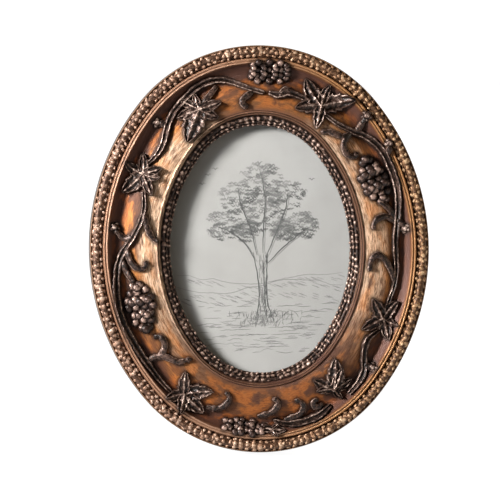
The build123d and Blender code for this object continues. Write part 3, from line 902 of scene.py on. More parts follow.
    def material(self) -> bpy.types.Material:
        """Build the material.

        Returns:
            The material.
        """
        shader = Shader("brushed_gilt")
        grain = shader.grain()
        reads = self.reads(shader, grain)
        streak = reads[Read.STREAK]
        place = shader.maths("ADD", reads[Read.INSET], shader.fade(streak, *self.wander))
        colour = shader.ramp(place, self.bands)
        layers = (
            self.rust, self.gold, self.painted_highlight, self.rubbed, self.foot, self.shaded,
            self.painted_warm_light, self.threads, self.wash,
        )
        for layer in layers:
            colour = layer.lay(shader, reads, colour)
        back = shader.blend(shader.fade(streak, *self.back_streaks), self.back_colour, self.back_worn)
        front = shader.fade(shader.number("height"), *self.back_heights)
        inputs = {
            "Base Color": shader.blend(front, back, colour),
            "Metallic": self.metallic,
            "Roughness": shader.fade(streak, *self.gloss),
            "Normal": shader.bump(shader.noise(grain, self.tooth), *self.relief),
            "Specular IOR Level": self.specular,
        }
        return shader.finish(inputs)


@dataclass(frozen=True)
class BronzeFinish:
    """Dark patina with a light-coloured dry brush on what stands proud, and a painted warm light tint
    towards the right side that is off unless a share is given.
    """

    name: str
    low: Colour = tint(0.013, 0.008, 0.006)
    middle: Colour = tint(0.105, 0.061, 0.046)
    high: Colour = tint(0.86, 0.66, 0.55)
    # Tint of the painted warm light towards the right side.
    gold: Colour = tint(1.0, 0.93, 0.62)
    stops: tuple[float, ...] = (0.0, 0.26, 0.40, 0.80)
    speck: Noise = Noise(700.0, 4.0, 0.65)
    cloud: Noise = Noise(700.0 / 6, 3.0, 0.55)
    wear_share: float = 0.6
    mottle: Ends = (0.34, 0.68, -0.26, 0.32)
    patch: Ends = (0.3, 0.7, -0.20, 0.18)
    gloss: Pair = (0.26, 0.44)
    gloss_specks: Pair = (0.3, 0.7)
    warm_light_share: float = 0.0
    warm_light_side: Pair = (-0.6, 0.8)
    variety: float = 0.0
    relief: Pair = (0.0004, 0.6)
    metallic: float = 0.35
    specular: float = 0.35

    def material(self) -> bpy.types.Material:
        """Build the material.

        Returns:
            The material.
        """
        shader = Shader(self.name)
        place = shader.place()
        speck = shader.noise(place, self.speck)
        cloud = shader.noise(place, self.cloud)
        rub = shader.product(shader.number("wear"), self.wear_share)
        rub = shader.maths("ADD", rub, shader.fade(speck, *self.mottle))
        rub = shader.maths("ADD", rub, shader.fade(cloud, *self.patch))
        if self.variety:
            shade = shader.fade(shader.number("shade"), 0.0, 1.0, -self.variety, self.variety)
            rub = shader.maths("ADD", rub, shade)
        colours = (self.low, self.middle, self.middle, self.high)
        colour = shader.ramp(rub, tuple(zip(self.stops, colours)))
        # Painted warm light: the colour tinted yellower towards the right side of the oval.
        if self.warm_light_share:
            side = shader.fade(shader.split(shader.grain())[0], *self.warm_light_side, 0.0, self.warm_light_share)
            colour = shader.blend(side, colour, self.gold, "MULTIPLY")
        inputs = {
            "Base Color": colour,
            "Metallic": self.metallic,
            "Roughness": shader.fade(speck, *self.gloss_specks, *self.gloss),
            "Normal": shader.bump(speck, *self.relief),
            "Specular IOR Level": self.specular,
        }
        return shader.finish(inputs)


@dataclass(frozen=True)
class SheetFinish:
    """Paper, card, board or sheet metal: a colour with marks where its fibres and clouds show."""

    name: str
    colour: Colour
    marks: Colour
    fibre: Noise
    cloud: Noise
    fibre_marks: Ends
    cloud_marks: Ends
    relief: Pair
    roughness: float

    def gloss(self, shader: Shader, fibre: Socket) -> dict:
        """Return the sockets that set how the surface shines."""
        return {"Roughness": self.roughness}

    def material(self) -> bpy.types.Material:
        """Build the material.

        Returns:
            The material.
        """
        shader = Shader(self.name)
        place = shader.place()
        fibre = shader.noise(place, self.fibre)
        cloud = shader.noise(place, self.cloud)
        colour = shader.blend(shader.fade(cloud, *self.cloud_marks), self.colour, self.marks)
        if any(self.fibre_marks):
            colour = shader.blend(shader.fade(fibre, *self.fibre_marks), colour, self.marks)
        inputs = {"Base Color": colour, "Normal": shader.bump(fibre, *self.relief)}
        return shader.finish(inputs | self.gloss(shader, fibre))


@dataclass(frozen=True)
class PaperFinish(SheetFinish):
    """Soft drawing paper with faint fibres and a little age."""

    name: str = "drawing_paper"
    colour: Colour = tint(0.46, 0.456, 0.44)
    marks: Colour = tint(0.385, 0.379, 0.36)
    fibre: Noise = Noise(1600.0, 3.0, 0.7)
    cloud: Noise = Noise(26.0, 4.0, 0.6)
    fibre_marks: Ends = (0.45, 0.75, 0.0, 0.28)
    cloud_marks: Ends = (0.35, 0.68, 0.0, 0.8)
    relief: Pair = (0.0001, 0.3)
    roughness: float = 0.85


@dataclass(frozen=True)
class BoardFinish(SheetFinish):
    """Fibrous board or card with flecks."""

    fibre: Noise = Noise(900.0, 4.0, 0.7, (1.0, 1.0, 0.35))
    cloud: Noise = Noise(45.0, 3.0, 0.55)
    fibre_marks: Ends = (0.48, 0.72, 0.0, 0.6)
    cloud_marks: Ends = (0.45, 0.75, 0.0, 0.35)
    relief: Pair = (0.0003, 0.4)
    roughness: float = 0.75


@dataclass(frozen=True)
class MetalFinish(SheetFinish):
    """Sheet metal with rolling lines and tarnish."""

    fibre: Noise = Noise(420.0, 3.0, 0.6, (1.0, 8.0, 8.0))
    cloud: Noise = Noise(160.0, 4.0, 0.6)
    fibre_marks: Ends = (0.0, 0.0, 0.0, 0.0)
    cloud_marks: Ends = (0.42, 0.72, 0.0, 0.75)
    relief: Pair = (0.0001, 0.3)
    roughness: float = 0.32
    lines: Pair = (0.3, 0.7)
    smoother: float = 0.08
    rougher: float = 0.12
    metallic: float = 0.95

    def gloss(self, shader: Shader, fibre: Socket) -> dict:
        """Return the sockets that set how the metal shines along its lines."""
        ends = (self.roughness - self.smoother, self.roughness + self.rougher)
        return {"Metallic": self.metallic, "Roughness": shader.fade(fibre, *self.lines, *ends)}


@dataclass(frozen=True)
class GraphiteFinish:
    """Pencil strokes whose darkness is a mesh attribute."""

    soft: Colour = tint(0.25, 0.246, 0.24)
    firm: Colour = tint(0.018, 0.018, 0.018)
    tooth: Noise = Noise(2600.0, 2.0, 0.6)
    press: Ends = (0.3, 0.7, 0.12, -0.3)
    roughness: float = 0.55

    def material(self) -> bpy.types.Material:
        """Build the material.

        Returns:
            The material.
        """
        shader = Shader("graphite")
        tooth = shader.noise(shader.place(), self.tooth)
        press = shader.maths("ADD", shader.number("tone"), shader.fade(tooth, *self.press))
        colour = shader.blend(press, self.soft, self.firm)
        return shader.finish({"Base Color": colour, "Roughness": self.roughness})


@dataclass(frozen=True)
class GlassFinish:
    """Thin clear glass that shows little but its shine."""

    colour: Colour = tint(0.86, 0.92, 0.90)
    cover: float = 0.05
    smear: Noise = Noise(40.0, 3.0, 0.5)
    gloss: Ends = (0.3, 0.7, 0.02, 0.06)

    def material(self) -> bpy.types.Material:
        """Build the material.

        Returns:
            The material.
        """
        shader = Shader("picture_glass")
        rough = shader.fade(shader.noise(shader.place(), self.smear), *self.gloss)
        return shader.finish({"Base Color": self.colour, "Roughness": rough, "Alpha": self.cover})


@dataclass(frozen=True)
class Moulding:
    """The swept oval ring."""

    finish: GiltFinish = GiltFinish()
    steps: int = 720
    wash_reach: float = 1.25
    wash_floor: float = 9.0

    def tree(self) -> Tree:
        """Build the tree that sweeps the section along the oval.

        Returns:
            The tree.
        """
        tree = Tree("sweep_moulding")
        shape = tree.node("GeometryNodeObjectInfo", {"Object": tree.given("Section", "NodeSocketObject")})
        path = tree.curve(tree.source.outputs["Geometry"])
        tree.close(tree.sweep(path, tree.curve(shape.outputs["Geometry"])))
        return tree

    def build(self, bench: Bench) -> None:
        """Sweep the section and register the ring.

        Args:
            bench: Takes the piece.
        """
        finish = self.finish.material()
        outline = -np.array(bench.face.section.outline())
        holder = placed("section", loop_mesh("section", at_height(outline, 0.0)))
        path = loop_mesh("moulding_gilt", at_height(bench.face.oval.ring(0.0, self.steps), 0.0))
        mesh = self.tree().grow(path, {"Section": holder, "Material": finish})
        bpy.data.objects.remove(holder)
        self.pool(bench, mesh)
        bench.piece(mesh, finish, ["moulding"])

    def pool(self, bench: Bench, mesh: bpy.types.Mesh) -> None:
        """Write how much dark wash lies in the corners beside the ornament.

        Args:
            bench: Knows where the ornament meets the front.
            mesh: The ring.
        """
        marks = np.concatenate(bench.footprints)
        tree = KDTree(len(marks))
        for i, (across, up) in enumerate(marks):
            tree.insert((across, up, 0.0), i)
        tree.balance()
        wash = np.zeros(len(mesh.vertices))
        for i, vertex in enumerate(mesh.vertices):
            if vertex.co.z > self.wash_floor:
                far = tree.find((vertex.co.x, vertex.co.y, 0.0))[2]
                wash[i] = mound(far, self.wash_reach)
        write_numbers(mesh, "wash", wash)


@dataclass(frozen=True)
class BeadRow:
    """A row of carved lumps along an oval, on a core, in millimetres and degrees."""

    name: str
    nodes: tuple[str, ...]
    finish: BronzeFinish
    inset: float
    height: float
    count: int
    length: float
    breadth: float
    rise: float
    slant: float
    core: float
    polish: float
    seed: int
    sway: float
    jitter: float
    roll: float = 0.0
    segments: int = 14
    rings: int = 9
    bluntness: float = 0.72
    smallest: Triple = (0.72, 0.74, 0.62)
    largest: Triple = (1.22, 1.16, 1.24)
    astray: Triple = (1.0, 1.0, 0.5)
    core_sides: int = 12
    path_steps: int = 4
    sharp: float = 80.0

    def lump(self, tree: Tree) -> Socket:
        """Build one lump.

        Args:
            tree: The tree that takes the nodes.

        Returns:
            The lump's socket.
        """
        ball = tree.ball(self.segments, self.rings, tree.number("Polish"))
        along, wide, up = tree.split(tree.out("GeometryNodeInputPosition"))
        blunt = tree.maths("POWER", tree.maths("ABSOLUTE", along), self.bluntness)
        blunt = tree.product(tree.maths("SIGN", along), blunt)
        named = zip((blunt, wide, up), ("Length", "Breadth", "Rise"))
        place = tree.join(*(tree.product(side, tree.number(name)) for side, name in named))
        return tree.out("GeometryNodeSetPosition", {"Geometry": ball, "Position": place})

    def turn(self, tree: Tree, seed: Socket) -> Socket:
        """Build the turn of each lump: along the row, rolled to its slope and slanted a little at random.

        Args:
            tree: The tree that takes the nodes.
            seed: Seed of the random sway.

        Returns:
            The turn's socket.
        """
        tangent = {"Vector": tree.out("GeometryNodeInputTangent")}
        turned = tree.out("FunctionNodeAlignRotationToVector", tangent, axis="X", pivot_axis="Z")
        sway = tree.number("Sway")
        swing = {2: tree.product(sway, -1.0), 3: sway, "Seed": seed}
        swung = tree.node("FunctionNodeRandomValue", swing, data_type="FLOAT").outputs[1]
        slant = tree.maths("ADD", tree.number("Slant"), swung)
        for angles in (tree.join(tree.number("Roll")), tree.join(0.0, 0.0, slant)):
            step = {0: turned, 1: tree.out("FunctionNodeEulerToRotation", {0: angles})}
            turned = tree.out("FunctionNodeRotateRotation", step, rotation_space="LOCAL")
        return turned

    def tree(self) -> Tree:
        """Build the tree that sets lumps along a closed line.

        Returns:
            The tree.
        """
        tree = Tree(f"row_{self.name}")
        seed = tree.count("Seed")
        path = tree.curve(tree.source.outputs["Geometry"])
        inputs = {"Curve": path, "Count": tree.count("Count")}
        points = tree.out("GeometryNodeResampleCurve", inputs, mode="COUNT")
        sizes = {0: self.smallest, 1: self.largest, "Seed": seed}
        size = tree.out("FunctionNodeRandomValue", sizes, data_type="FLOAT_VECTOR")
        turn = self.turn(tree, seed)
        inputs = {"Points": points, "Instance": self.lump(tree), "Rotation": turn, "Scale": size}
        lumps = tree.out("GeometryNodeInstanceOnPoints", inputs)
        back = tuple(-side for side in self.astray)
        ways = {0: back, 1: self.astray, "Seed": tree.maths("ADD", seed, 1.0)}
        away = tree.out("FunctionNodeRandomValue", ways, data_type="FLOAT_VECTOR")
        away = tree.out("ShaderNodeVectorMath", {0: away, "Scale": tree.number("Jitter")}, operation="SCALE")
        inputs = {"Instances": lumps, "Translation": away, "Local Space": False}
        lumps = tree.out("GeometryNodeTranslateInstances", inputs)
        circle = {"Resolution": self.core_sides, "Radius": tree.number("Core")}
        core = tree.sweep(path, tree.out("GeometryNodeCurvePrimitiveCircle", circle))
        joined = tree.node("GeometryNodeJoinGeometry")
        for shape in (core, lumps):
            tree.tree.links.new(shape, joined.inputs[0])
        tree.close(joined.outputs[0])
        return tree

    def build(self, bench: Bench) -> None:
        """Grow the row and register it.

        Args:
            bench: Takes the piece.
        """
        finish = self.finish.material()
        ring = bench.face.oval.ring(self.inset, self.path_steps * self.count)
        path = loop_mesh(self.name, at_height(ring, self.height))
        values = {
            "Count": self.count,
            "Seed": self.seed,
            "Length": self.length / 2,
            "Breadth": self.breadth / 2,
            "Rise": self.rise,
            "Slant": math.radians(self.slant),
            "Roll": math.radians(self.roll),
            "Core": self.core,
            "Polish": self.polish,
            "Sway": self.sway,
            "Jitter": self.jitter,
            "Material": finish,
        }
        bench.piece(self.tree().grow(path, values), finish, self.nodes, self.sharp)


@dataclass(frozen=True)
class Leaf:
    """A carved vine leaf: pointed lobes that spread from a centre, in millimetres on the face."""

    node: str
    seed: int
    centre: Pair
    tips: Line
    breadth_share: float = 0.34
    breadth_range: Pair = (0.9, 1.12)
    root: float = 0.05
    body: float = 0.93
    fullness: float = 0.8
    thin: float = 0.25
    bend: float = 0.05
    overlap: float = 0.08
    tooth_pitch: float = 4.6
    tooth_start: Pair = (0.2, 0.8)
    tooth: float = 0.26
    edge: float = 0.7
    crown: float = 1.5
    crown_fall: float = 0.45
    tip_fall: float = 0.5
    curl: float = 0.9
    vein: float = 1.1
    vein_width: float = 0.75
    vein_reach: float = 1.05
    vein_taper: float = 0.4
    rim: float = 0.8
    rim_place: float = 0.80
    rim_width: float = 0.13
    rim_start: float = 3.0
    rim_wear: float = 0.8
    groove: float = 0.7
    groove_place: float = 0.45
    groove_width: float = 0.2
    groove_wear: float = 0.4
    rib: float = 0.35
    rib_slope: float = 0.8
    under_share: float = 0.98
    lobe_step: float = 0.18
    steps: int = 46
    columns: int = 21
    sharp: float = 70.0

    def relief(self, place: float, half: float, saw: float) -> tuple[np.ndarray, np.ndarray]:
        """Shape one row across a lobe.

        Args:
            place: Share of the way from the leaf's centre to the tip.
            half: Half the lobe's breadth there.
            saw: Share of the way along the tooth there.

        Returns:
            The heights above the lobe's edge and how far each is rubbed bright.
        """
        across = np.linspace(-1.0, 1.0, self.columns)
        far = np.abs(across)
        vein = mound(across * half, self.vein_width) * (self.vein_reach - place) ** self.vein_taper
        rim = mound(far - self.rim_place, self.rim_width) * min(1.0, self.rim_start * place)
        groove = mound(far - self.groove_place, self.groove_width)
        rib = np.clip(np.cos(2 * math.pi * (saw + self.rib_slope * far)), 0, 1) * (1 - across**2)
        rise = self.crown * (1 - self.crown_fall * across**2) * (1 - self.tip_fall * place)
        rise += self.curl * place**3
        rise += self.vein * vein + self.rim * rim - self.groove * groove + self.rib * rib
        rise[[0, -1]] = 0.0
        wear = vein + self.rim_wear * rim + self.rib * rib - self.groove_wear * groove
        return rise, np.clip(wear, 0, 1)

    def lobe(
        self, bench: Bench, carving: Carving, tip: Pair, chance: np.random.Generator, edge: float
    ) -> None:
        """Carve one lobe.

        Args:
            bench: Gives the face that the lobe lies on.
            carving: Takes the lobe's points and faces.
            tip: The lobe's tip from the leaf's centre.
            chance: Source of small differences.
            edge: Height of its edge above the front.
        """
        length = math.hypot(*tip)
        along = np.array(tip) / length
        side = np.array([-along[1], along[0]])
        share = np.linspace(0.0, 1.0, self.steps)
        arch = np.sin(math.pi * share)
        saw = (length / self.tooth_pitch * share + chance.uniform(*self.tooth_start)) % 1.0
        full = length * self.breadth_share * chance.uniform(*self.breadth_range)
        half = full * np.sin(math.pi * (self.root + self.body * share) ** self.fullness) ** self.fullness
        half = np.maximum(self.thin, half * (1 - self.tooth * (1 - saw) * arch))
        bend = chance.uniform(-self.bend, self.bend) * length
        reach = share * (1 + self.overlap) - self.overlap
        spine = np.array(self.centre) + np.outer(reach, along) * length + np.outer(arch * bend, side)
        across = np.linspace(-1.0, 1.0, self.columns)
        below = np.array([self.under_share, -self.under_share])
        rows, wears, marks = [], [], []
        for i, place in enumerate(share):
            rise, wear = self.relief(place, half[i], saw[i])
            spots = spine[i] + np.outer(across * half[i], side)
            under = spine[i] + np.outer(below * half[i], side)
            rows.append(np.vstack([bench.face.lift(spots, edge + rise), bench.face.lift(under, SUNK)]))
            wears.append(np.append(wear, [0.0, 0.0]))
            marks.extend((spots[0], spots[-1]))
        carving.add(np.vstack(rows), tube_faces(self.steps, self.columns + 2), np.concatenate(wears))
        bench.footprints.append(np.array(marks))

    def build(self, bench: Bench, finish: bpy.types.Material) -> None:
        """Carve the leaf and register it.

        Args:
            bench: Takes the piece.
            finish: Its material.
        """
        chance = np.random.default_rng(self.seed)
        carving = Carving()
        for i, tip in enumerate(self.tips):
            self.lobe(bench, carving, tip, chance, self.edge + self.lobe_step * i)
        bench.piece(carving.mesh(f"carved_{self.node}"), finish, [self.node], self.sharp)


@dataclass(frozen=True)
class Strands:
    """Carved stems or tendrils through points on the face, in millimetres, that are one piece."""

    node: str
    lines: tuple[Line, ...]
    outline: tuple[Triple, ...]
    breadth: float
    relief: float
    end_share: float
    knob: float = 0.0
    knob_width: float = 0.55
    start_share: float = 0.5
    start_slope: float = 5.0
    end_slope: float = 3.0
    blunt_ends: Pair = (0.55, 0.4)
    ripples: tuple[Triple, ...] = ((0.06, 0.55, 0.0), (0.05, 1.3, 1.0))
    low_share: float = 0.35
    steps: int = 12
    sharp: float = 70.0

    def swell(self, run: np.ndarray) -> np.ndarray:
        """Find how broad a strand is along its run.

        Args:
            run: Distance along the strand.

        Returns:
            Shares of the full breadth.
        """
        share = run / run[-1]
        swell = np.minimum(1.0, self.start_share + (1 - self.start_share) * share * self.start_slope)
        swell = np.minimum(swell, self.end_share + (1 - self.end_share) * (1 - share) * self.end_slope)
        if self.knob:
            far = run[-1] - run - self.breadth / 2
            swell = np.maximum(swell, self.knob * mound(far, self.knob_width * self.breadth))
        swell[[0, -1]] *= self.blunt_ends
        return swell * (1 + sum(size * np.sin(pace * run + start) for size, pace, start in self.ripples))

    def carve(self, line: Line, bench: Bench, carving: Carving) -> None:
        """Carve one strand.

        Args:
            line: Points that it runs through.
            bench: Gives the face that it lies on.
            carving: Takes its points and faces.
        """
        path = smooth_path(np.array(line), self.steps)
        swell = self.swell(run_of(path))
        side = across_of(path)
        wide, tall, wear = np.array(self.outline).T
        rows = []
        for i, spot in enumerate(path):
            height = self.relief * (self.low_share + (1 - self.low_share) * min(1.0, swell[i]))
            spots = spot + np.outer(wide * swell[i] * self.breadth / 2, side[i])
            rows.append(bench.face.lift(spots, np.where(tall > 0, tall * height, SUNK)))
        carving.add(np.vstack(rows), tube_faces(len(rows), len(wide)), np.tile(wear, len(rows)))
        half = side * (swell * self.breadth / 2)[:, None]
        bench.footprints.append(np.vstack([path + half, path - half]))

    def build(self, bench: Bench, finish: bpy.types.Material) -> None:
        """Carve the strands and register them.

        Args:
            bench: Takes the piece.
            finish: Its material.
        """
        carving = Carving()
        for line in self.lines:
            self.carve(line, bench, carving)
        bench.piece(carving.mesh(f"carved_{self.node}"), finish, [self.node], self.sharp)


@dataclass(frozen=True)
class Berries:
    """Balls set on the face, grown from points with a place, a rise and a radius."""

    node: str
    balls: tuple[Ball, ...]
    segments: int = 18
    rings: int = 11
    flatness: float = 0.8
    polish: float = 3.0
    seed: int = 3
    foot_steps: int = 16
    sharp: float = 80.0

    def tree(self) -> Tree:
        """Build the tree that sets a ball on each point.

        Returns:
            The tree.
        """
        tree = Tree(f"balls_carved_{self.node}")
        ball = tree.ball(tree.count("Segments"), tree.count("Rings"), self.polish)
        size = tree.out("GeometryNodeInputNamedAttribute", {"Name": "radius"}, data_type="FLOAT")
        scale = tree.join(size, size, tree.product(size, tree.number("Flatness")))
        inputs = {"Points": tree.source.outputs["Geometry"], "Instance": ball, "Scale": scale}
        balls = tree.out("GeometryNodeInstanceOnPoints", inputs)
        chance = tree.node("FunctionNodeRandomValue", {"Seed": tree.count("Seed")}, data_type="FLOAT")
        tree.close(tree.store(balls, "shade", chance.outputs[1], "INSTANCE"))
        return tree

    def build(self, bench: Bench, finish: bpy.types.Material) -> None:
        """Grow the balls and register them.

        Args:
            bench: Takes the piece.
            finish: Its material.
        """
        spots, rises, radii = np.split(np.array(self.balls), (2, 3), axis=1)
        base = bpy.data.meshes.new(f"carved_{self.node}")
        base.from_pydata(bench.face.lift(spots, rises[:, 0]).tolist(), [], [])
        write_numbers(base, "radius", radii[:, 0])
        values = {"Segments": self.segments, "Rings": self.rings, "Flatness": self.flatness}
        mesh = self.tree().grow(base, values | {"Seed": self.seed, "Material": finish})
        turn = np.linspace(0, 2 * math.pi, self.foot_steps, endpoint=False)
        circle = np.column_stack([np.cos(turn), np.sin(turn)])
        bench.footprints.extend(spot + radius * circle for spot, radius in zip(spots, radii))
        bench.piece(mesh, finish, [self.node], self.sharp)


@dataclass(frozen=True)
class Bunch:
    """A bunch of grapes: rows of balls along a heading and a second layer on them."""

    node: str
    seed: int
    centre: Pair
    heading: float
    rows: tuple[int, ...]
    radius: float
    row_pitch: float = 1.6
    ball_pitch: float = 1.7
    shake: float = 0.11
    size_range: Pair = (0.9, 1.12)
    rise: float = 0.2
    rise_range: Pair = (-0.1, 0.25)
    upper_rise: float = 0.85
    upper_step: float = 0.4

    def ball(self, chance: np.random.Generator, step: float, off: float, rise: float) -> Ball:
        """Place one grape.

        Args:
            chance: Source of small differences.
            step: Its place along the heading, in radii.
            off: Its place beside the heading, in radii.
            rise: Its rise above the front, in radii.

        Returns:
            Its place, rise and radius.
        """
        turn = math.radians(self.heading)
        along = np.array([math.sin(turn), math.cos(turn)])
        side = np.array([along[1], -along[0]])
        away = along * step + side * off + chance.normal(0, self.shake, 2)
        size = self.radius * chance.uniform(*self.size_range)
        return (*(np.array(self.centre) + away * self.radius), rise * self.radius, size)

    def balls(self) -> list[Ball]:
        """Place all the grapes.

        Returns:
            Place, rise and radius of each.
        """
        chance = np.random.default_rng(self.seed)
        found = []
        for i, count in enumerate(self.rows):
            step = (i - (len(self.rows) - 1) / 2) * self.row_pitch
            for j in range(count):
                rise = self.rise + chance.uniform(*self.rise_range)
                found.append(self.ball(chance, step, (j - (count - 1) / 2) * self.ball_pitch, rise))
            if i % 2:
                continue
            for j in range(count - 1):
                off = (j - (count - 2) / 2) * self.ball_pitch
                found.append(self.ball(chance, step + self.upper_step, off, self.upper_rise))
        return found

    def build(self, bench: Bench, finish: bpy.types.Material) -> None:
        """Grow the bunch and register it."""
        Berries(self.node, tuple(self.balls())).build(bench, finish)


# Outlines of a grooved stem and a round tendril: shares of half the breadth and of the relief, and wear.
STEM_OUTLINE: tuple[Triple, ...] = (
    (-1.0, -0.1, 0.0), (-1.0, 0.35, 0.0), (-0.84, 0.80, 0.1), (-0.62, 1.0, 0.95), (-0.42, 0.94, 0.15),
    (0.0, 0.56, 0.0), (0.42, 0.94, 0.1), (0.62, 1.0, 0.75), (0.84, 0.80, 0.1), (1.0, 0.35, 0.0),
    (1.0, -0.1, 0.0),
)
TENDRIL_OUTLINE: tuple[Triple, ...] = (
    (-1.0, -0.1, 0.0), (-1.0, 0.36, 0.2), (-0.90, 0.66, 0.95), (-0.72, 0.86, 0.2), (-0.40, 0.96, 0.05),
    (0.0, 1.0, 0.15), (0.40, 0.96, 0.05), (0.72, 0.86, 0.2), (0.90, 0.66, 0.8), (1.0, 0.36, 0.2),
    (1.0, -0.1, 0.0),
)
# Middle lines of the stems and tendrils on the face, in millimetres from its middle.
STEMS_RIGHT: tuple[Line, ...] = (
    ((7, 104.2), (14, 102.6), (20, 104.3), (27, 102), (34, 98.5)),
    (
        (43.5, 90), (48.5, 86), (54.5, 82), (64, 77.6), (72, 74.4), (79, 69), (83.7, 63), (87.2, 55.5),
        (90.6, 46.5), (92.6, 38), (93.2, 30), (93, 22), (92, 13), (91, 4), (91.1, -4), (91.5, -12),
        (91.2, -19), (90, -26), (87.4, -33), (84.6, -40),
    ),
    (
        (79.5, -55.5), (75, -58.4), (71, -62), (69, -68), (68.4, -75), (68.5, -82), (66, -88),
        (62.4, -93), (57.5, -98.2),
    ),
    ((45.5, -105.5), (38, -111.5), (30, -115), (22, -116.8), (14.5, -117.2), (7, -115)),
)
STEMS_LEFT: tuple[Line, ...] = (
    (
        (-60, -95.2), (-65.5, -89.7), (-70.6, -83.2), (-75.2, -76.6), (-79.7, -70), (-84.2, -62.6),
        (-88.2, -55.5), (-91.6, -48.5), (-94.3, -41), (-95.8, -33), (-96.4, -25), (-96.2, -17),
        (-95.3, -10), (-93.6, -4), (-91, 1), (-87.6, 6), (-84, 11.5), (-80.6, 18), (-78, 25), (-77.2, 32),
        (-77.5, 40),
    ),
    (
        (-75, 57.5), (-70.2, 62), (-66.5, 66.5), (-64, 71.5), (-62.3, 77.5), (-60.5, 84), (-57.3, 91),
        (-52.6, 97.2), (-47, 103), (-40.5, 108.5), (-33, 112), (-25.5, 113.4), (-18.5, 112.2),
        (-11.5, 109.6), (-4, 106.6), (4, 104.2),
    ),
)
TENDRILS_RIGHT: tuple[Line, ...] = (
    ((62.5, 77.2), (57, 74.2), (52, 75.8), (47.5, 77.6), (41, 77.7)),
    ((62, 76), (58.4, 73.2), (56.6, 69.3), (57.2, 65), (60.2, 61.4), (64.2, 60.8), (65.6, 64)),
    ((91.6, 19), (87.6, 24.8), (83.6, 28.6), (79.6, 31)),
    ((92, 15.5), (89.5, 18.2), (86, 20.2), (82, 20.4), (78.4, 18.6), (76.1, 15.4), (76.2, 11.8)),
    (
        (90.3, -26), (89.3, -20), (87, -14.3), (83.5, -8.6), (79.6, -5.4), (75.7, -6.2), (73.2, -10.4),
        (73, -16),
    ),
    (
        (14, -115), (19, -113.4), (23.8, -111.8), (26.6, -108.6), (26.8, -105), (24.6, -102.6),
        (21, -101.4),
    ),
    ((-4, -112), (0.5, -111), (5, -109.6), (8.2, -106.8), (9.8, -103.6), (8.8, -101), (6, -100.2)),
    ((40, -104.2), (37.6, -106.4), (35, -106.6), (33.6, -104.4), (34.8, -102.2), (37.2, -102.4)),
    ((23, 105), (18.6, 106.2), (15.6, 104), (15.2, 100.6)),
    ((66, 77.5), (69, 82), (71.5, 86.5)),
    ((85, 62), (87, 65), (87.4, 68)),
    ((92.5, 19), (95, 16), (97, 12.5)),
    ((68.4, -78), (71, -79.6), (73.6, -80.4)),
)
TENDRILS_LEFT: tuple[Line, ...] = (
    ((-38, -104.6), (-32.4, -106), (-27, -104.6), (-23.5, -101), (-23, -97.4), (-25.6, -95)),
    (
        (-77, -74), (-73.7, -71.4), (-69.5, -70.2), (-64.8, -70.5), (-60.2, -72.6), (-56, -74.2),
        (-51.8, -73), (-47.6, -72),
    ),
    ((-70, -70.4), (-66.8, -67.6), (-65.2, -63.2), (-66.2, -59), (-69.4, -56.4), (-72.6, -58)),
    ((-89.6, 3.2), (-88.6, -2), (-87.2, -6), (-84.6, -9.6), (-81, -11.5), (-77.8, -10.8), (-76.1, -6.2)),
    ((-77.6, 26), (-76.3, 19), (-74.6, 13.6), (-72, 8.9), (-68.2, 5.4)),
    ((-84, 11.6), (-86.8, 9.2), (-90, 8.6), (-93.4, 11), (-96.4, 15)),
    ((-92.4, -5.6), (-90.4, -12), (-87.4, -17), (-84.6, -21.4)),
    ((-3.5, 105.6), (-7, 102.8), (-10.6, 99.6), (-10.2, 96.2), (-7, 95)),
    ((-37.5, 97), (-33.4, 102), (-27.4, 109.4)),
    ((-60.8, 83.4), (-64, 84.8), (-67, 85.4)),
)


